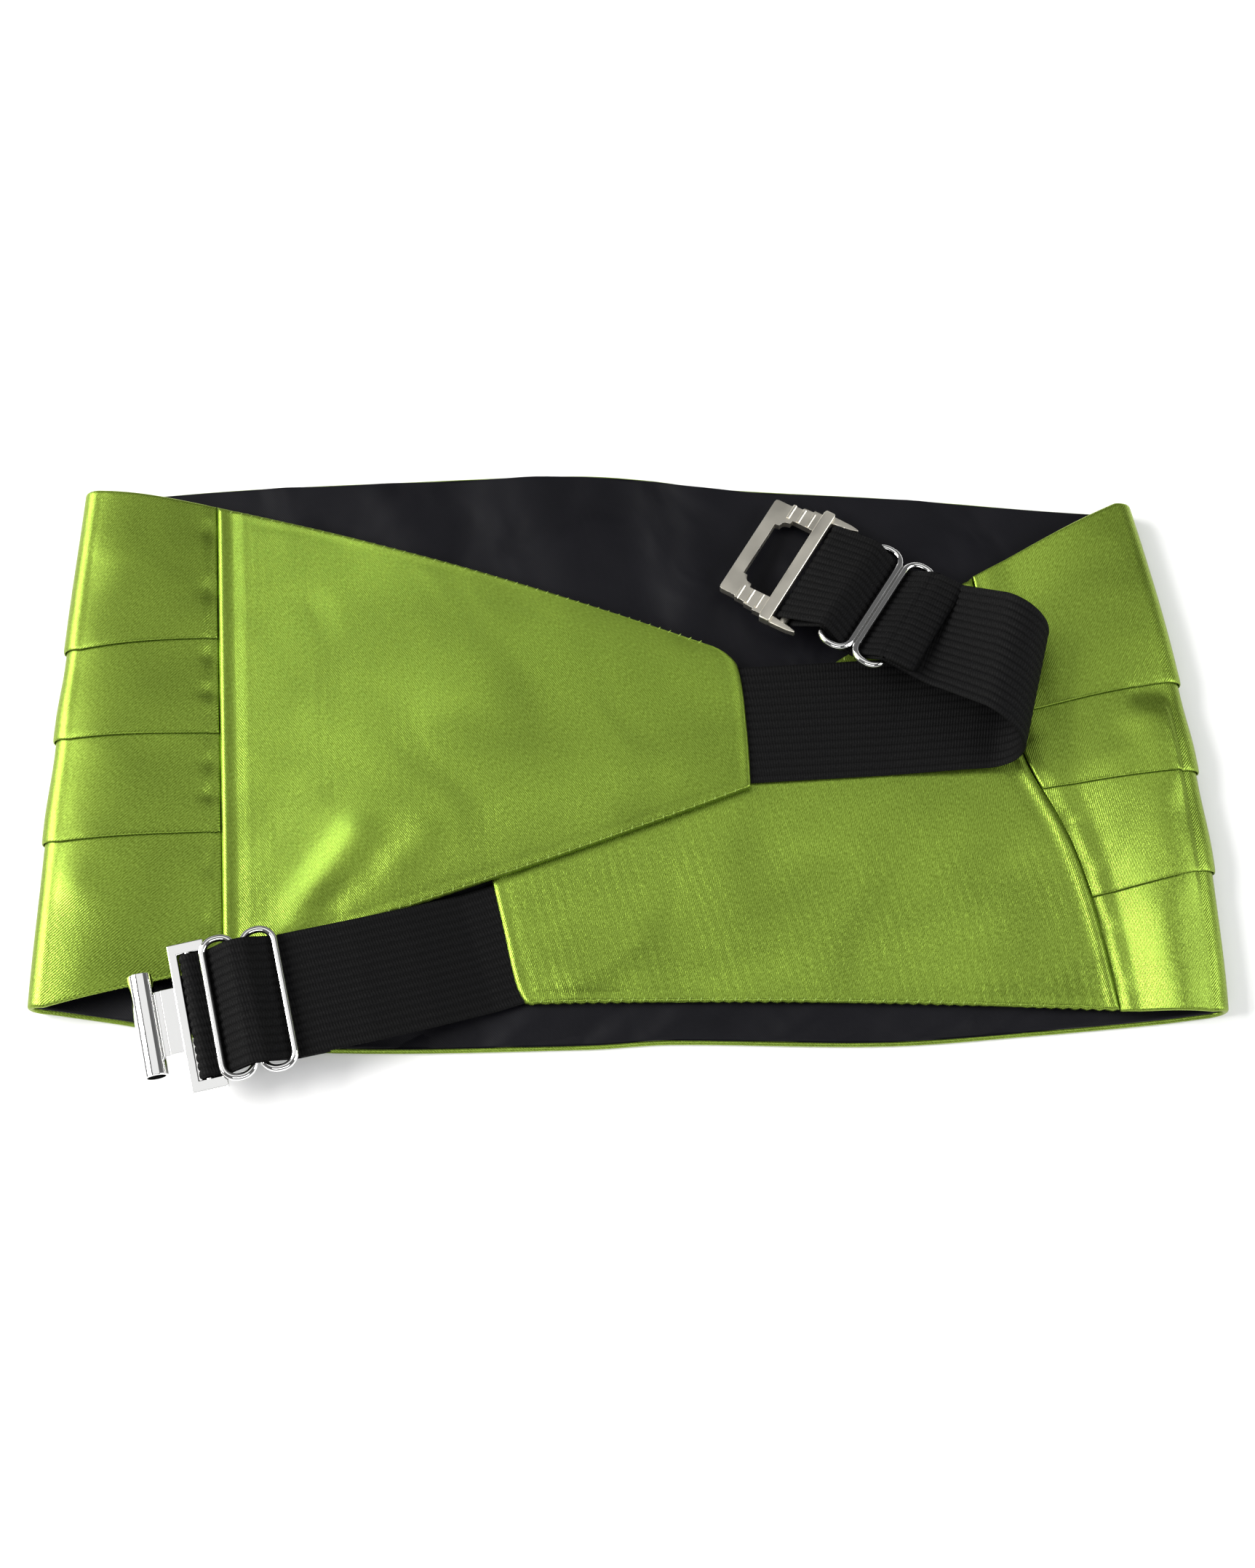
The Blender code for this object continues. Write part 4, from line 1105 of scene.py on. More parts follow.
def plate(outlines, low, high, edge, matrix):
    """A plate between two heights with rounded edges; the inner outlines are holes."""
    curve = bpy.data.curves.new("plate", "CURVE")
    curve.dimensions = "2D"
    curve.fill_mode = "BOTH"
    curve.extrude = (high - low) / 2 * MM
    for outline in outlines:
        spline = curve.splines.new("POLY")
        spline.points.add(len(outline) - 1)
        for point, (x, y) in zip(spline.points, outline):
            point.co = (x * MM, y * MM, 0, 1)
        spline.use_cyclic_u = True
    made = new_object("plate", curve)
    bpy.context.view_layer.update()
    mesh = mesh_of(made, matrix @ Matrix.Translation((0, 0, (high + low) / 2 * MM)))
    bm = bmesh.new()
    bm.from_mesh(mesh)
    if len(outlines) == 1:
        bmesh.ops.dissolve_limit(bm, angle_limit=math.radians(1), verts=bm.verts[:], edges=bm.edges[:])
    sharp = [e for e in bm.edges if len(e.link_faces) == 2 and e.calc_face_angle() > math.radians(12)]
    bmesh.ops.bevel(
        bm, geom=sharp, offset=edge * MM, segments=3, profile=0.5, affect="EDGES", clamp_overlap=True
    )
    bm.to_mesh(mesh)
    bm.free()
    return mesh


def wire(points, radius, closed, matrix, sides=5):
    """A round wire through the points."""
    curve = bpy.data.curves.new("wire", "CURVE")
    curve.dimensions = "3D"
    curve.bevel_depth = radius * MM
    curve.bevel_resolution = sides
    curve.use_fill_caps = True
    spline = curve.splines.new("POLY")
    spline.points.add(len(points) - 1)
    for point, place in zip(spline.points, points):
        point.co = (*(c * MM for c in place), 1)
    spline.use_cyclic_u = closed
    return mesh_of(new_object("wire", curve), matrix)


def joined(name, meshes, material, angle=40):
    """One object of several meshes, sharp where its faces meet at more than an angle."""
    bm = bmesh.new()
    for mesh in meshes:
        bm.from_mesh(mesh)
    whole = bpy.data.meshes.new(name)
    bm.to_mesh(whole)
    bm.free()
    whole.materials.append(material)
    whole.shade_smooth()
    whole.set_sharp_from_angle(angle=math.radians(angle))
    made = new_object(name, whole)
    made.modifiers.new("even shading", "WEIGHTED_NORMAL").keep_sharp = True
    return evaluated(made)


def in_row_frame(place, rotation):
    """The matrix that puts a fitting made at the origin in its place."""
    return Matrix.Translation((place - Vector(MIDDLE)) * MM) @ rotation.to_4x4()


def hook_matrix():
    """The hook's place: its crossbar in the end of its strap."""
    distance, height = HOOK_STRAP["crossbar"]
    place, heading = hook_strap_plan(distance)
    place.z = HOOK_STRAP["slide_height"] + height
    return in_row_frame(place, Matrix.Rotation(math.radians(heading), 3, "Z"))


def buckle_matrix():
    """The buckle's place: its crossbar in the end of its strap, rolled and tilted as it lies."""
    run = BUCKLE_STRAP
    distance, height = run["crossbar"]
    place, heading = buckle_strap_plan(distance)
    place.z = run["slide_height"] - height
    place, _ = rolled(place, place, run["roll_at_buckle"])
    turn = Matrix.Rotation(math.radians(heading), 3, "Z")
    roll = Matrix.Rotation(math.radians(run["roll_at_buckle"]), 3, "X")
    return in_row_frame(place, turn @ roll @ Matrix.Rotation(math.radians(run["hardware_tilt"]), 3, "Y"))


def slide_matrix(side):
    """A slide's place on its strap."""
    if side == "hook":
        place, heading = hook_strap_plan(0)
        place.z = HOOK_STRAP["slide_height"]
        return in_row_frame(place, Matrix.Rotation(math.radians(heading), 3, "Z"))
    place, heading = buckle_strap_plan(0)
    place.z = BUCKLE_STRAP["slide_height"]
    turn = Matrix.Rotation(math.radians(heading), 3, "Z")
    return in_row_frame(place, turn @ Matrix.Rotation(math.radians(BUCKLE_STRAP["roll_at_slide"]), 3, "X"))


def oblong(back, front, half):
    """The plan of a plain rectangle from back to front, half its length to each side."""
    return [(back, -half), (front, -half), (front, half), (back, half)]


def mirrored(points):
    """An outline that is the same on both sides of its middle, from the points of one side."""
    return points + [(x, -y) for x, y in reversed(points)]


def make_slide(name, side, material):
    """Two loops of wire side by side that share a double middle bar."""
    points = rounded_loop(MIDDLE_BAR, OUTER_BAR, (SLIDE_LENGTH - WIRE) / 2, SLIDE_CORNER, steps=9)
    loops = []
    for turn in (0, 180):
        matrix = slide_matrix(side) @ Matrix.Rotation(math.radians(turn), 4, "Z")
        loops.append(wire([(x, y, 0) for x, y in points], WIRE / 2, True, matrix))
    return joined(name, loops, material)


# The hook's plan along its strap from the crossbar: back, front, inner edge of the C, half its length, arm.
HOOK_BACK = -4.2
HOOK_FRONT = 4.6
HOOK_INNER = 2.45
HOOK_HALF = 18.3
HOOK_ARM = 2.8

# The frame's thickness: bottom, top, edge.
HOOK_PLATE = (-0.9, 0.9, 0.3)

# Each flat part between the frame and the tube: back, front, bottom, top, edge.
HOOK_NECK_HALF = 8.0
HOOK_NECK = [(3.8, 8.0, -0.7, 0.7, 0.2), (7.6, 10.2, -0.45, 0.4, 0.15)]


def make_hook(material):
    """The T-hook: a C-shaped frame round the elastic, a stepped neck and a rolled tube."""
    matrix = hook_matrix()
    arm = HOOK_HALF - HOOK_ARM
    outline = oblong(HOOK_BACK, HOOK_FRONT, HOOK_HALF)
    outline += [(HOOK_BACK, arm), (HOOK_INNER, arm), (HOOK_INNER, -arm), (HOOK_BACK, -arm)]
    meshes = [plate([outline], *HOOK_PLATE, matrix)]
    meshes.append(crossbar(arm + 0.2, matrix))
    for back, front, low, high, edge in HOOK_NECK:
        meshes.append(plate([oblong(back, front, HOOK_NECK_HALF)], low, high, edge, matrix))
    meshes.append(rolled_tube(matrix))
    return joined("t_hook", meshes, material, 50)


def crossbar(half, matrix):
    """The bar that the elastic turns on."""
    return wire([(0, -half, 0), (0, half, 0)], CROSSBAR_RADIUS, False, matrix)


TUBE_LENGTH = 25.0
TUBE_RADIUS = 3.0
TUBE_WALL = 0.75
TUBE_MIDDLE = Vector((12.0, 0, 0.7))
TUBE_SIDES = 48
TUBE_EDGE = (0.0, 0.06, 0.2, 0.42)
TUBE_SEAM_AT = 158
TUBE_SEAM_DEPTH = 0.1

# The tube's rim in section, from its inner wall round to its outside: radius, distance from the tube's end.
TUBE_RIM = [
    (TUBE_RADIUS - TUBE_WALL, 0.3), (TUBE_RADIUS - TUBE_WALL, 0.08), (TUBE_RADIUS - TUBE_WALL + 0.1, 0.0),
    (TUBE_RADIUS - 0.18, 0.0), (TUBE_RADIUS - 0.06, 0.05), (TUBE_RADIUS, 0.2),
]


def rolled_tube(matrix):
    """The T-bar: sheet metal rolled into a tube that ends against its own neck."""
    end = TUBE_LENGTH / 2
    lengthwise = edge_steps(TUBE_LENGTH, TUBE_EDGE, TUBE_EDGE, 4.0)[len(TUBE_EDGE):-len(TUBE_EDGE)]
    places = [(radius, y - end) for radius, y in TUBE_RIM]
    places += [(TUBE_RADIUS, y - end) for y in lengthwise]
    places += [(radius, end - y) for radius, y in reversed(TUBE_RIM)]
    places += [(TUBE_RADIUS - TUBE_WALL, 0.0)]
    bm = bmesh.new()
    rings = []
    for radius, y in places:
        ring = []
        for i in range(TUBE_SIDES):
            turn = 360 / TUBE_SIDES * i
            from_seam = (turn - TUBE_SEAM_AT + 180) % 360 - 180
            groove = TUBE_SEAM_DEPTH * hump(from_seam, 0, 5) if radius > TUBE_RADIUS - 0.3 else 0
            angle = math.radians(turn)
            offset = Vector((math.cos(angle), 0, math.sin(angle))) * (radius - groove)
            ring.append(bm.verts.new((TUBE_MIDDLE + offset + Vector((0, y, 0))) * MM))
        rings.append(ring)
    for first, second in zip(rings, rings[1:] + rings[:1]):
        for i in range(TUBE_SIDES):
            j = (i + 1) % TUBE_SIDES
            bm.faces.new((first[i], first[j], second[j], second[i]))
    bmesh.ops.recalc_face_normals(bm, faces=bm.faces[:])
    bm.transform(matrix)
    mesh = bpy.data.meshes.new("tube")
    bm.to_mesh(mesh)
    bm.free()
    return mesh


# The buckle's plan, one side of each outline: x along the strap from the crossbar, y out from its middle.
BUCKLE_SIDE = [
    (5.6, 16.6), (8.3, 16.6), (8.5, 16.1), (11.0, 16.0), (11.3, 15.5), (13.9, 15.4), (14.2, 15.0),
    (17.9, 15.0), (18.5, 14.8), (18.7, 14.2),
]
BUCKLE_WINDOW = [
    (5.7, 11.2), (11.9, 11.2), (12.1, 10.2), (13.3, 9.9), (13.9, 9.4), (14.2, 8.4), (15.4, 8.2),
]
BUCKLE_MAIN_BAR = [(2.9, -17.3), (3.2, -17.9), (5.6, -17.9), (6.0, -17.0)]
BUCKLE_EAR = [
    (4.6, 17.6), (4.6, 15.3), (2.6, 15.5), (0.6, 15.7), (-2.2, 16.1), (-4.0, 16.6),
    (-4.0, 17.1), (-1.8, 17.5), (1.6, 17.6),
]

# The thickness of the buckle's frame, main bar and ears: bottom, top, edge.
FRAME_PLATE = (-1.1, 1.0, 0.3)
MAIN_BAR_PLATE = (-0.8, 1.9, 1.15)
EAR_PLATE = (-1.1, 0.9, 0.3)

# The ridges over the frame's steps: where each is, from where to where it runs, its height and radius.
RIDGES_AT = (7.9, 10.6, 13.4)
RIDGE_FROM = 11.4
RIDGE_TO = 15.6
RIDGE_HEIGHT = 0.74
RIDGE_RADIUS = 0.55
BUCKLE_CROSSBAR_HALF = 16.0


def make_buckle(material):
    """The buckle: a stepped window frame, a raised main bar, ears and the bar that the elastic turns on."""
    matrix = buckle_matrix()
    meshes = [plate([mirrored(BUCKLE_SIDE), mirrored(BUCKLE_WINDOW)], *FRAME_PLATE, matrix)]
    for x in RIDGES_AT:
        for way in (1, -1):
            line = [(x, way * RIDGE_FROM, RIDGE_HEIGHT), (x, way * RIDGE_TO, RIDGE_HEIGHT)]
            meshes.append(wire(line, RIDGE_RADIUS, False, matrix, 3))
    meshes.append(plate([mirrored(BUCKLE_MAIN_BAR)], *MAIN_BAR_PLATE, matrix))
    for way in (1, -1):
        ear = [(x, way * y) for x, y in BUCKLE_EAR]
        meshes.append(plate([ear], *EAR_PLATE, matrix))
    meshes.append(crossbar(BUCKLE_CROSSBAR_HALF, matrix))
    return joined("buckle_metal", meshes, material, 50)


# ---------------------------------------------------------------- materials

# How many times paler the lining's threads and the elastic's lint are (the lint also paints light on the
# ribs' crests and shade in their grooves), and the shade between strands.
LINING_SHEEN = 1.7
LINT_AND_CREST_LIGHT = 2.6
STRAND_SHADE = 0.55


def shader_group(name, inputs, outputs):
    """A shader node group with named inputs and outputs, and its two end nodes."""
    group = bpy.data.node_groups.new(name, "ShaderNodeTree")
    for label, kind, default in inputs:
        socket = group.interface.new_socket(label, in_out="INPUT", socket_type=kind)
        if default is not None:
            socket.default_value = default
    for label, kind in outputs:
        group.interface.new_socket(label, in_out="OUTPUT", socket_type=kind)
    return group, group.nodes.new("NodeGroupInput"), group.nodes.new("NodeGroupOutput")


def thread_weave():
    """Slanted lines of thread with uneven yarns and bright flecks, on cloth coordinates in millimetres."""
    found = bpy.data.node_groups.get("Thread Weave")
    if found:
        return found
    group, start, end = shader_group(
        "Thread Weave",
        [
            ("Vector", "NodeSocketVector", None),
            ("Thread Pitch", "NodeSocketFloat", 0.5),
            ("Slant", "NodeSocketFloat", 0.7),
            ("Flecks", "NodeSocketFloat", 0.4),
        ],
        [("Tone", "NodeSocketFloat"), ("Height", "NodeSocketFloat")],
    )
    turned = node(group, "ShaderNodeVectorRotate", {
        "Vector": start.outputs["Vector"], "Angle": start.outputs["Slant"],
    }, rotation_type="Z_AXIS")
    parts = node(group, "ShaderNodeSeparateXYZ", {0: turned.outputs[0]})
    wander = node(group, "ShaderNodeTexNoise", {
        "Vector": start.outputs["Vector"], "Scale": 0.7, "Detail": 2.0,
    })
    shifted = math_node(group, "MULTIPLY_ADD", wander.outputs["Fac"], 0.12, parts.outputs["X"])
    turns = math_node(group, "DIVIDE", shifted, start.outputs["Thread Pitch"])
    wave = math_node(group, "SINE", math_node(group, "MULTIPLY", turns, 2 * math.pi))
    ridge = math_node(group, "MULTIPLY_ADD", wave, 0.5, 0.5)
    stretch = node(group, "ShaderNodeVectorMath", {
        0: turned.outputs[0], 1: (2.4, 0.9, 1.0),
    }, operation="MULTIPLY")
    yarn = node(group, "ShaderNodeTexNoise", {"Vector": stretch.outputs[0], "Scale": 1.5, "Detail": 3.0})
    fleck = node(group, "ShaderNodeMapRange", {
        "Value": yarn.outputs["Fac"], "From Min": 0.4, "From Max": 0.64,
    })
    tone = node(group, "ShaderNodeMix", {
        0: start.outputs["Flecks"], 2: ridge, 3: fleck.outputs[0],
    }, data_type="FLOAT")
    group.links.new(tone.outputs[0], end.inputs["Tone"])
    height = math_node(group, "MULTIPLY_ADD", fleck.outputs[0], 0.35, ridge)
    group.links.new(height, end.inputs["Height"])
    return group


def cloth_cloud():
    """Slow changes of tone and of height, as handled cloth has, on cloth coordinates in millimetres."""
    found = bpy.data.node_groups.get("Cloth Cloud")
    if found:
        return found
    group, start, end = shader_group(
        "Cloth Cloud",
        [("Vector", "NodeSocketVector", None), ("Size", "NodeSocketFloat", 24.0)],
        [("Tone", "NodeSocketFloat"), ("Height", "NodeSocketFloat")],
    )
    scale = math_node(group, "DIVIDE", 1.0, start.outputs["Size"])
    coarse = node(group, "ShaderNodeTexNoise", {
        "Vector": start.outputs["Vector"], "Scale": scale, "Detail": 1.5, "Distortion": 0.6,
    })
    tone = node(group, "ShaderNodeMapRange", {
        "Value": coarse.outputs["Fac"], "From Min": 0.3, "From Max": 0.7,
    })
    group.links.new(tone.outputs[0], end.inputs["Tone"])
    group.links.new(coarse.outputs["Fac"], end.inputs["Height"])
    return group


def metal_wear():
    """Faint smears and rubbing marks in the finish of the metal, on object coordinates in metres."""
    found = bpy.data.node_groups.get("Metal Wear")
    if found:
        return found
    group, start, end = shader_group(
        "Metal Wear",
        [
            ("Vector", "NodeSocketVector", None),
            ("Smoothest", "NodeSocketFloat", 0.05),
            ("Roughest", "NodeSocketFloat", 0.2),
            ("Grain", "NodeSocketFloat", 900.0),
        ],
        [("Roughness", "NodeSocketFloat"), ("Height", "NodeSocketFloat")],
    )
    smear = node(group, "ShaderNodeTexNoise", {
        "Vector": start.outputs["Vector"], "Scale": 130.0, "Detail": 4.0,
    })
    grain = node(group, "ShaderNodeTexNoise", {
        "Vector": start.outputs["Vector"], "Scale": start.outputs["Grain"], "Detail": 3.0,
    })
    roughness = node(group, "ShaderNodeMapRange", {
        "Value": smear.outputs["Fac"], "From Min": 0.35, "From Max": 0.7,
        "To Min": start.outputs["Smoothest"], "To Max": start.outputs["Roughest"],
    })
    group.links.new(roughness.outputs[0], end.inputs["Roughness"])
    group.links.new(grain.outputs["Fac"], end.inputs["Height"])
    return group


def new_material(name, **sockets):
    """A material and its Principled BSDF, with the given sockets filled in."""
    made = bpy.data.materials.new(name)
    made.use_nodes = True
    surface = made.node_tree.nodes["Principled BSDF"]
    for label, value in sockets.items():
        surface.inputs[label.replace("_", " ")].default_value = value
    return made, made.node_tree, surface


def group_node(tree, group, inputs):
    """A shader node that holds a node group."""
    return node(tree, "ShaderNodeGroup", inputs, node_tree=group)


def cloth_place(tree):
    """Each point's place on the flat cloth."""
    return node(tree, "ShaderNodeUVMap", uv_map="cloth").outputs["UV"]


def woven_material(name, dark, light, pitch, flecks, cloud, bump, cloud_bump, roughness, **sockets):
    """Satin: slanted threads between a dark and a light colour, over slow clouds of tone and height."""
    made, tree, surface = new_material(name, **sockets)
    place = cloth_place(tree)
    weave = group_node(tree, thread_weave(), {
        "Vector": place, "Thread Pitch": pitch, "Slant": 0.72, "Flecks": flecks,
    })
    clouds = group_node(tree, cloth_cloud(), {"Vector": place, "Size": cloud})
    colour = node(tree, "ShaderNodeMix", {
        0: weave.outputs["Tone"], 6: (*dark, 1), 7: (*light, 1),
    }, data_type="RGBA")
    shade = node(tree, "ShaderNodeMapRange", {
        "Value": clouds.outputs["Tone"], "To Min": 0.88, "To Max": 1.1,
    })
    tinted = node(tree, "ShaderNodeVectorMath", {
        0: colour.outputs[2], "Scale": shade.outputs[0],
    }, operation="SCALE")
    tree.links.new(tinted.outputs[0], surface.inputs["Base Color"])
    gloss = node(tree, "ShaderNodeMapRange", {
        "Value": clouds.outputs["Tone"], "To Min": roughness[0], "To Max": roughness[1],
    })
    tree.links.new(gloss.outputs[0], surface.inputs["Roughness"])
    slow = node(tree, "ShaderNodeBump", {
        "Height": clouds.outputs["Height"], "Strength": 1.0, "Distance": cloud_bump,
    })
    fine = node(tree, "ShaderNodeBump", {
        "Height": weave.outputs["Height"], "Strength": 1.0, "Distance": bump, "Normal": slow.outputs[0],
    })
    tree.links.new(fine.outputs[0], surface.inputs["Normal"])
    return made


def knitted_material(name, colour, lint_and_crest_light, settings):
    """Elastic: fine knitted courses across the ribs, matte, with a little lint, painted light on the ribs'
    crests and painted shade in the grooves between them.
    """
    made, tree, surface = new_material(name, Specular_IOR_Level=0.1)
    place = cloth_place(tree)
    courses = group_node(tree, thread_weave(), {
        "Vector": place, "Thread Pitch": settings.knit_pitch / MM, "Slant": 0.12, "Flecks": 0.55,
    })
    across = node(tree, "ShaderNodeAttribute", attribute_name="across").outputs["Fac"]
    turns = math_node(tree, "MULTIPLY", across, math.pi * settings.ribs / (ELASTIC_WIDTH * MM))
    # Painted light and shade: the ribs' crests take the paler lint colour, and the grooves between them stay
    # dark as painted shade.
    crest_light_mask = math_node(tree, "ABSOLUTE", math_node(tree, "COSINE", turns))
    tone = math_node(tree, "MULTIPLY", math_node(tree, "POWER", crest_light_mask, 0.8), courses.outputs["Tone"])
    colours = node(tree, "ShaderNodeMix", {0: tone, 6: (*colour, 1), 7: (*lint_and_crest_light, 1)}, data_type="RGBA")
    tree.links.new(colours.outputs[2], surface.inputs["Base Color"])
    gloss = node(tree, "ShaderNodeMapRange", {
        "Value": courses.outputs["Tone"], "To Min": 0.85, "To Max": 0.6,
    })
    tree.links.new(gloss.outputs[0], surface.inputs["Roughness"])
    bump = node(tree, "ShaderNodeBump", {
        "Height": courses.outputs["Height"], "Strength": 1.0, "Distance": 0.00006,
    })
    tree.links.new(bump.outputs[0], surface.inputs["Normal"])
    return made


def metal_material(name, colour, smoothest, roughest, grain, bump):
    """Metal of one colour with faint smears and grain."""
    made, tree, surface = new_material(name, Metallic=1.0)
    surface.inputs["Base Color"].default_value = (*colour, 1)
    place = node(tree, "ShaderNodeTexCoord").outputs["Object"]
    wear = group_node(tree, metal_wear(), {
        "Vector": place, "Smoothest": smoothest, "Roughest": roughest, "Grain": grain,
    })
    tree.links.new(wear.outputs["Roughness"], surface.inputs["Roughness"])
    marks = node(tree, "ShaderNodeBump", {
        "Height": wear.outputs["Height"], "Strength": 1.0, "Distance": bump,
    })
    tree.links.new(marks.outputs[0], surface.inputs["Normal"])
    return made


def thread_material(name, colour):
    """Twisted thread, darker between its strands."""
    made, tree, surface = new_material(name, Specular_IOR_Level=0.4)
    place = node(tree, "ShaderNodeTexCoord").outputs["Object"]
    strands = node(tree, "ShaderNodeTexNoise", {"Vector": place, "Scale": 5200.0, "Detail": 2.0})
    darker = tuple(c * STRAND_SHADE for c in colour)
    tone = node(tree, "ShaderNodeMix", {
        0: strands.outputs["Fac"], 6: (*darker, 1), 7: (*colour, 1),
    }, data_type="RGBA")
    tree.links.new(tone.outputs[2], surface.inputs["Base Color"])
    gloss = node(tree, "ShaderNodeMapRange", {"Value": strands.outputs["Fac"], "To Min": 0.4, "To Max": 0.65})
    tree.links.new(gloss.outputs[0], surface.inputs["Roughness"])
    return made


def found_or(name, make):
    """The material of that name, made once."""
    return bpy.data.materials.get(name) or make()


def satin():
    """The lime satin of the front and the wings."""
    settings = bpy.context.scene.cummerbund
    return found_or("lime satin", lambda: woven_material(
        "lime satin", tuple(settings.colours.satin_dark), tuple(settings.colours.satin_light),
        pitch=settings.cloth.thread_pitch / MM, flecks=0.6, cloud=26.0, bump=0.00003, cloud_bump=0.0004,
        roughness=(0.28, 0.34), Metallic=0.82, Specular_Tint=(1.0, 1.0, 0.75, 1),
    ))


def lining_satin():
    """The black lining, a smoother cloth than the front."""
    dark = tuple(bpy.context.scene.cummerbund.colours.lining)
    light = tuple(c * LINING_SHEEN for c in dark)
    return found_or("black lining satin", lambda: woven_material(
        "black lining satin", dark, light,
        pitch=0.42, flecks=0.4, cloud=18.0, bump=0.00002, cloud_bump=0.0012,
        roughness=(0.42, 0.55), Specular_IOR_Level=0.13,
    ))


def elastic():
    """The black elastic of the straps, with paler lint on its ribs, which also paints light on their crests
    and shade in their grooves.
    """
    settings = bpy.context.scene.cummerbund
    colour = tuple(settings.colours.elastic)
    lint_and_crest_light = tuple(c * LINT_AND_CREST_LIGHT for c in colour)
    return found_or("ribbed black elastic", lambda: knitted_material(
        "ribbed black elastic", colour, lint_and_crest_light, settings.elastic,
    ))


def chrome():
    """The bright chrome of the slides and the hook."""
    return found_or("polished chrome", lambda: metal_material(
        "polished chrome", (0.86, 0.86, 0.85),
        smoothest=0.05, roughest=0.12, grain=700.0, bump=0.0000005,
    ))


def nickel():
    """The duller, warmer nickel of the buckle."""
    return found_or("satin nickel", lambda: metal_material(
        "satin nickel", (0.78, 0.745, 0.65),
        smoothest=0.3, roughest=0.42, grain=1800.0, bump=0.000006,
    ))


def black_thread():
    """The thread at the straps' ends."""
    return found_or("black sewing thread", lambda: thread_material(
        "black sewing thread", (0.01, 0.01, 0.011),
    ))


def lime_thread():
    """The thread along the wings' edges."""
    colour = tuple(bpy.context.scene.cummerbund.colours.satin_light)
    return found_or("lime sewing thread", lambda: thread_material("lime sewing thread", colour))


# ---------------------------------------------------------------- what a user may change


class ClothSettings(bpy.types.PropertyGroup):
    """Sizes of the satin, the lining and their stitches."""

    thread_pitch: bpy.props.FloatProperty(
        name="Thread Pitch", description="Distance between the slanted threads of the satin",
        default=0.0005, min=0.0001, subtype="DISTANCE", unit="LENGTH", precision=5,
    )
    crease_strength: bpy.props.FloatProperty(
        name="Crease Strength", description="How deep the soft creases of the cloth are",
        default=1.0, min=0.0, max=2.0, subtype="FACTOR",
    )
    stitch_spacing: bpy.props.FloatProperty(
        name="Stitch Spacing", description="Distance from one edge stitch to the next",
        default=0.0027, min=0.001, subtype="DISTANCE", unit="LENGTH", precision=4,
    )
    thread_width: bpy.props.FloatProperty(
        name="Thread Width", description="Thickness of the sewing thread",
        default=0.0003, min=0.0001, subtype="DISTANCE", unit="LENGTH", precision=5,
    )


class ElasticSettings(bpy.types.PropertyGroup):
    """Sizes of the ribbed elastic."""

    ribs: bpy.props.IntProperty(name="Ribs", description="How many ribs lie side by side", default=15, min=4)
    rib_depth: bpy.props.FloatProperty(
        name="Rib Depth", description="How deep the grooves between the ribs are",
        default=0.00038, min=0.0, subtype="DISTANCE", unit="LENGTH", precision=5,
    )
    knit_pitch: bpy.props.FloatProperty(
        name="Knit Pitch", description="Distance between the knitted courses across the ribs",
        default=0.0007, min=0.0002, subtype="DISTANCE", unit="LENGTH", precision=5,
    )


class ColourSettings(bpy.types.PropertyGroup):
    """Colours of the cloth and the elastic."""

    satin_dark: bpy.props.FloatVectorProperty(
        name="Satin Dark", description="Colour between the threads of the satin",
        default=(0.115, 0.175, 0.014), size=3, min=0.0, max=1.0, subtype="COLOR",
    )
    satin_light: bpy.props.FloatVectorProperty(
        name="Satin Light", description="Colour of the threads of the satin",
        default=(0.28, 0.41, 0.06), size=3, min=0.0, max=1.0, subtype="COLOR",
    )
    lining: bpy.props.FloatVectorProperty(
        name="Lining", description="Colour of the lining",
        default=(0.0022, 0.0022, 0.0034), size=3, min=0.0, max=1.0, subtype="COLOR",
    )
    elastic: bpy.props.FloatVectorProperty(
        name="Elastic", description="Colour of the elastic straps",
        default=(0.0017, 0.0017, 0.0018), size=3, min=0.0, max=1.0, subtype="COLOR",
    )


class StageSettings(bpy.types.PropertyGroup):
    """The camera and the light."""

    elevation: bpy.props.FloatProperty(
        name="Elevation", description="How high above the surface the camera looks from",
        default=math.radians(72), subtype="ANGLE", unit="ROTATION",
    )
    distance: bpy.props.FloatProperty(
        name="Distance", description="How far the camera is from the cummerbund",
        default=0.6, min=0.1, subtype="DISTANCE", unit="LENGTH",
    )
    lens: bpy.props.FloatProperty(
        name="Lens", description="Focal length of the camera",
        default=55.8, min=10.0, subtype="DISTANCE_CAMERA", unit="CAMERA",
    )
    key_power: bpy.props.FloatProperty(
        name="Key Power", description="Power of the large soft light on the left",
        default=72.0, min=0.0, subtype="POWER", unit="POWER",
    )


class CummerbundSettings(bpy.types.PropertyGroup):
    """All that a user would change."""

    cloth: bpy.props.PointerProperty(
        type=ClothSettings, name="Cloth", description="Satin, lining and stitches",
    )
    elastic: bpy.props.PointerProperty(type=ElasticSettings, name="Elastic", description="The two straps")
    colours: bpy.props.PointerProperty(type=ColourSettings, name="Colours", description="Cloth and elastic")
    stage: bpy.props.PointerProperty(type=StageSettings, name="Stage", description="Camera and light")


# ---------------------------------------------------------------- one operator for each group of pieces


class CUMMERBUND_OT_front(bpy.types.Operator):
    """Make the pleated satin front, folded inward at both ends"""

    bl_idname = "cummerbund.front"
    bl_label = "Pleated Front"

    def execute(self, context):
        front = make_front(satin(), context.scene.cummerbund.cloth.crease_strength)
        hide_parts("front_pleated")
        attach(front, "garment")
        return {"FINISHED"}


class CUMMERBUND_OT_lining(bpy.types.Operator):
    """Make the black lining inside the front"""

    bl_idname = "cummerbund.lining"
    bl_label = "Lining"

    def execute(self, context):
        lining = make_lining(lining_satin(), context.scene.cummerbund.cloth.crease_strength)
        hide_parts("front_lining")
        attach(lining, "garment")
        return {"FINISHED"}


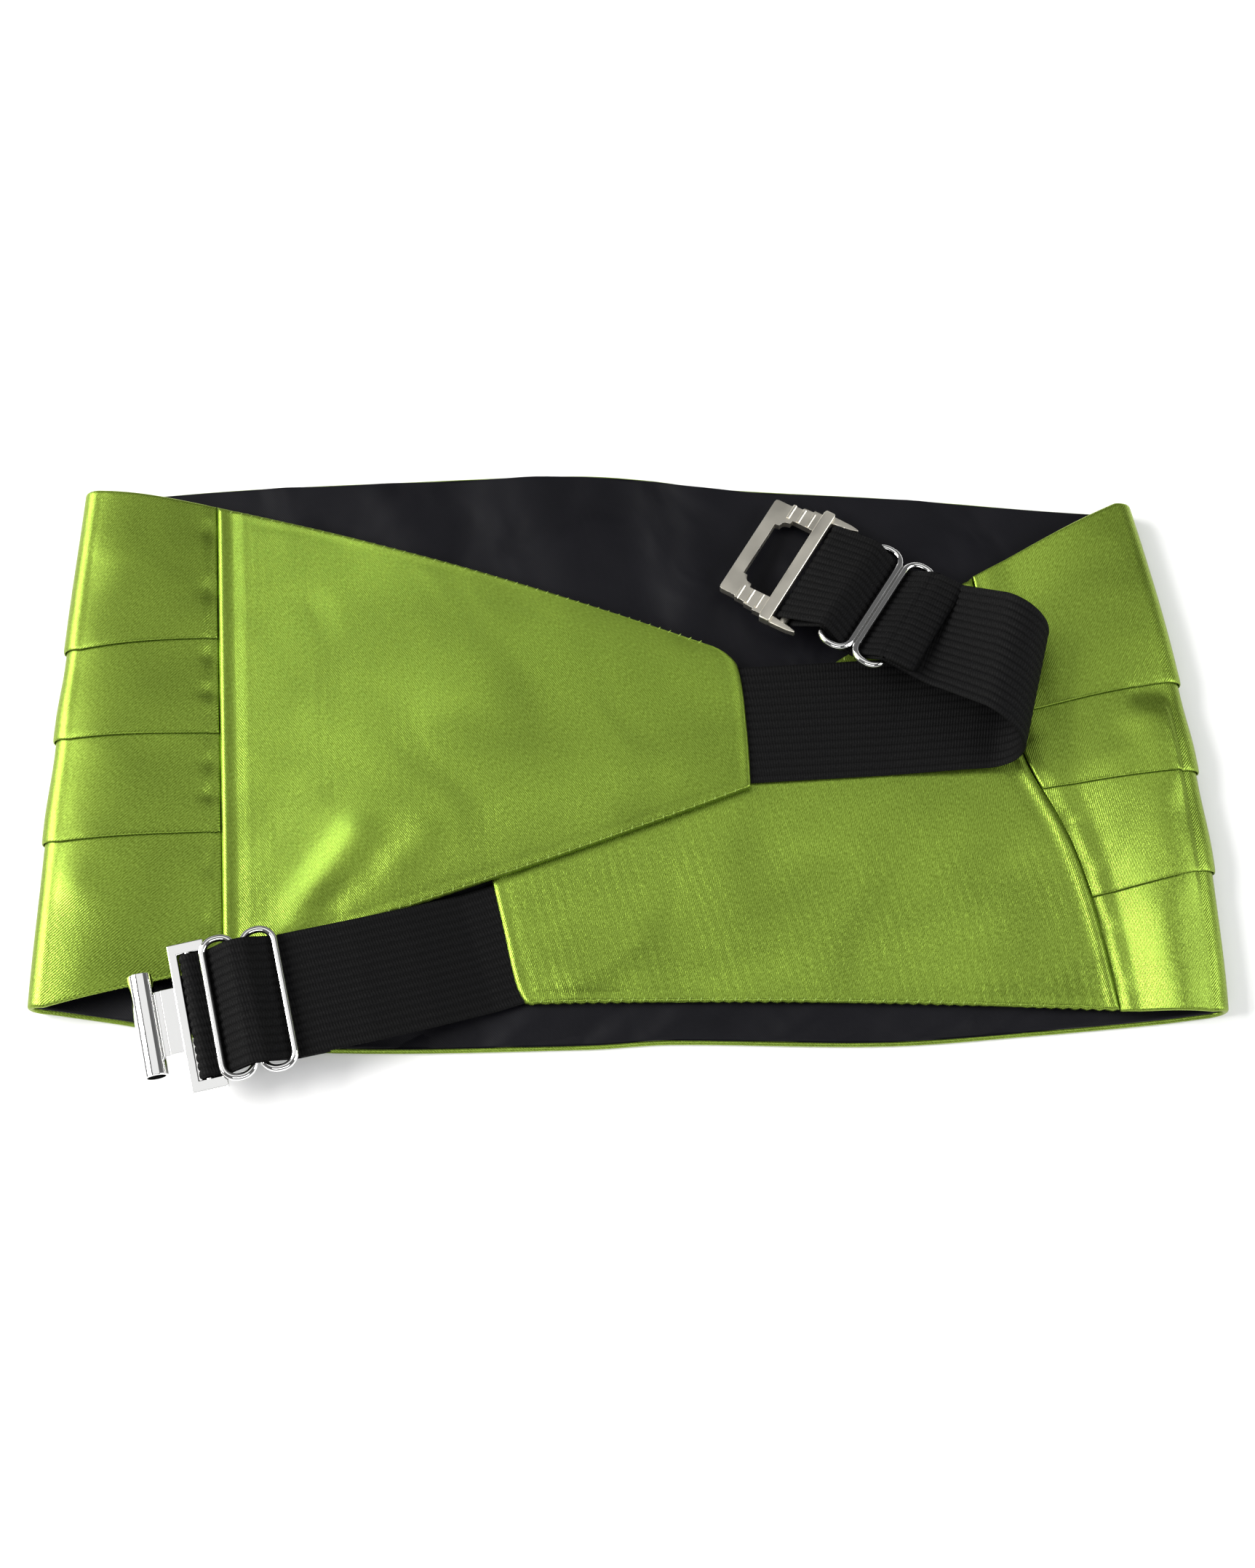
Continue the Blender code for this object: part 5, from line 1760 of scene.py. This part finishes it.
class CUMMERBUND_OT_wings(bpy.types.Operator):
    """Make the two tapering satin wings"""

    bl_idname = "cummerbund.wings"
    bl_label = "Wings"

    def execute(self, context):
        for side, under in (("right", "lining"), ("left", "wing_right_satin")):
            wing = make_wing(side, satin(), context.scene.cummerbund.cloth.crease_strength)
            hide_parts("wing_" + side)
            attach(wing, "garment")
        return {"FINISHED"}


class CUMMERBUND_OT_straps(bpy.types.Operator):
    """Make the two ribbed elastic straps"""

    bl_idname = "cummerbund.straps"
    bl_label = "Elastic Straps"

    def execute(self, context):
        settings = context.scene.cummerbund.elastic
        rows = [
            ("elastic_hook_side", hook_strap_places, "strap_hook_side", 0.13),
            ("elastic_buckle_side", buckle_strap_places, "strap_buckle_side", 0.21),
        ]
        for name, places, replaced, length in rows:
            strap = make_strap(name, places, settings.ribs, elastic(), settings.rib_depth)
            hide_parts(replaced)
            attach(strap, "garment")
        return {"FINISHED"}


class CUMMERBUND_OT_stitches(bpy.types.Operator):
    """Sew the wings' edges and the ends of the straps"""

    bl_idname = "cummerbund.stitches"
    bl_label = "Stitches"

    def execute(self, context):
        cloth = context.scene.cummerbund.cloth
        edge = {
            "Spacing": cloth.stitch_spacing, "Stitch Length": 0.0012, "Thread Width": cloth.thread_width,
            "Slant": 1.1, "Seed": 5, "Material": lime_thread(),
        }
        for side in ("left", "right"):
            stitches = make_stitches("edge_stitches_" + side, wing_edge_lines(side), edge)
            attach(stitches, "garment")
        tabs = {
            "Spacing": 0.0021, "Stitch Length": 0.0017, "Thread Width": 0.0004,
            "Slant": 0.0, "Seed": 9, "Material": black_thread(),
        }
        for name, places in (("hook", hook_strap_places), ("buckle", buckle_strap_places)):
            stitches = make_stitches("tab_stitches_" + name + "_side", [tab_line(places)], tabs)
            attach(stitches, "garment")
        return {"FINISHED"}


class CUMMERBUND_OT_fittings(bpy.types.Operator):
    """Make the wire slides, the hook and the buckle"""

    bl_idname = "cummerbund.fittings"
    bl_label = "Metal Fittings"

    def execute(self, context):
        rows = []
        for side in ("hook", "buckle"):
            slide = make_slide("wire_slide_" + side + "_side", side, chrome())
            rows.append((slide, "slider_" + side + "_side", "garment", "polished_chrome"))
        rows.append((make_hook(chrome()), "hook", "hook", "polished_chrome"))
        rows.append((make_buckle(nickel()), "buckle", "buckle", "satin_nickel"))
        for piece, replaced, body, slot in rows:
            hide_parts(replaced)
            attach(piece, body)
        return {"FINISHED"}


# The stage, in metres: the floor, what the camera looks at, and the world's light low down and overhead.
FLOOR_HALF = 12.0
CAMERA_TARGET = Vector((-0.0001, -0.0032, 0.005))
HORIZON = (0.46, 0.46, 0.47)
OVERHEAD = (0.13, 0.13, 0.13)


class CUMMERBUND_OT_stage(bpy.types.Operator):
    """Make the pale floor, the soft lights and the camera"""

    bl_idname = "cummerbund.stage"
    bl_label = "Stage"

    def execute(self, context):
        settings = context.scene.cummerbund.stage
        bm = bmesh.new()
        bmesh.ops.create_grid(bm, x_segments=8, y_segments=8, size=FLOOR_HALF)
        mesh = bpy.data.meshes.new("floor")
        bm.to_mesh(mesh)
        bm.free()
        floor = new_object("floor", mesh)
        made, _, surface = new_material("pale floor", Roughness=0.9, Specular_IOR_Level=0.1)
        surface.inputs["Base Color"].default_value = (0.9, 0.9, 0.9, 1)
        mesh.materials.append(made)
        camera = bpy.data.objects.new("camera", bpy.data.cameras.new("camera"))
        context.scene.collection.objects.link(camera)
        back = Vector((0, -math.cos(settings.elevation), math.sin(settings.elevation)))
        camera.location = CAMERA_TARGET + back * settings.distance
        camera.rotation_euler = (math.pi / 2 - settings.elevation, 0, 0)
        camera.data.sensor_fit = "VERTICAL"
        camera.data.sensor_height = 36.0
        camera.data.lens = settings.lens
        camera.data.clip_start = 0.01
        context.scene.camera = camera
        # Each light: name, place, width and depth, power, colour.
        lights = [
            ("key", (-1.6, 0.2, 1.15), (1.4, 1.1), settings.key_power, (1.0, 0.99, 0.97)),
            ("fill", (1.0, -0.1, 0.6), (0.7, 0.7), settings.key_power * 0.12, (0.98, 0.99, 1.0)),
            ("front", (0.0, -0.85, 0.95), (1.0, 0.4), settings.key_power * 0.06, (1.0, 1.0, 1.0)),
            ("top", (0.0, 0.32, 0.95), (1.1, 0.6), settings.key_power * 0.024, (1.0, 1.0, 1.0)),
        ]
        for name, place, (width, depth), power, colour in lights:
            lamp = bpy.data.lights.new(name, "AREA")
            lamp.shape = "RECTANGLE"
            lamp.size = width
            lamp.size_y = depth
            lamp.energy = power
            lamp.color = colour
            made = bpy.data.objects.new(name, lamp)
            context.scene.collection.objects.link(made)
            made.location = place
            made.rotation_euler = (-Vector(place)).to_track_quat("-Z", "Y").to_euler()
        world = bpy.data.worlds.new("studio")
        world.use_nodes = True
        context.scene.world = world
        background = world.node_tree.nodes["Background"]
        place = node(world.node_tree, "ShaderNodeTexCoord").outputs["Generated"]
        parts = node(world.node_tree, "ShaderNodeSeparateXYZ", {0: place})
        fade = node(world.node_tree, "ShaderNodeValToRGB", {0: parts.outputs["Z"]})
        fade.color_ramp.elements[0].position = 0.0
        fade.color_ramp.elements[0].color = (*HORIZON, 1)
        fade.color_ramp.elements[1].position = 0.35
        fade.color_ramp.elements[1].color = (*OVERHEAD, 1)
        world.node_tree.links.new(fade.outputs[0], background.inputs["Color"])
        background.inputs["Strength"].default_value = 1.0
        context.scene.view_settings.view_transform = "Standard"
        return {"FINISHED"}


OPERATORS = (
    CUMMERBUND_OT_stage, CUMMERBUND_OT_front, CUMMERBUND_OT_lining, CUMMERBUND_OT_wings,
    CUMMERBUND_OT_straps, CUMMERBUND_OT_stitches, CUMMERBUND_OT_fittings,
)


class CUMMERBUND_PT_panel(bpy.types.Panel):
    """Lists the cummerbund's settings and its operators"""

    bl_idname = "CUMMERBUND_PT_panel"
    bl_label = "Cummerbund"
    bl_space_type = "VIEW_3D"
    bl_region_type = "UI"
    bl_category = "Cummerbund"

    def draw(self, context):
        settings = context.scene.cummerbund
        for group in (settings.cloth, settings.elastic, settings.colours, settings.stage):
            box = self.layout.box()
            for label in group.__annotations__:
                box.prop(group, label)
        for operator in OPERATORS:
            self.layout.operator(operator.bl_idname)


CLASSES = (
    ClothSettings, ElasticSettings, ColourSettings, StageSettings, CummerbundSettings,
    *OPERATORS, CUMMERBUND_PT_panel,
)


def register():
    for item in CLASSES:
        bpy.utils.register_class(item)
    bpy.types.Scene.cummerbund = bpy.props.PointerProperty(type=CummerbundSettings)


def unregister():
    del bpy.types.Scene.cummerbund
    for item in reversed(CLASSES):
        bpy.utils.unregister_class(item)


def main():
    register()
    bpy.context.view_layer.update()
    bpy.ops.cummerbund.stage()
    bpy.ops.cummerbund.front()
    bpy.ops.cummerbund.lining()
    bpy.ops.cummerbund.wings()
    bpy.ops.cummerbund.straps()
    bpy.ops.cummerbund.stitches()
    bpy.ops.cummerbund.fittings()


if __name__ == "__main__":
    main()
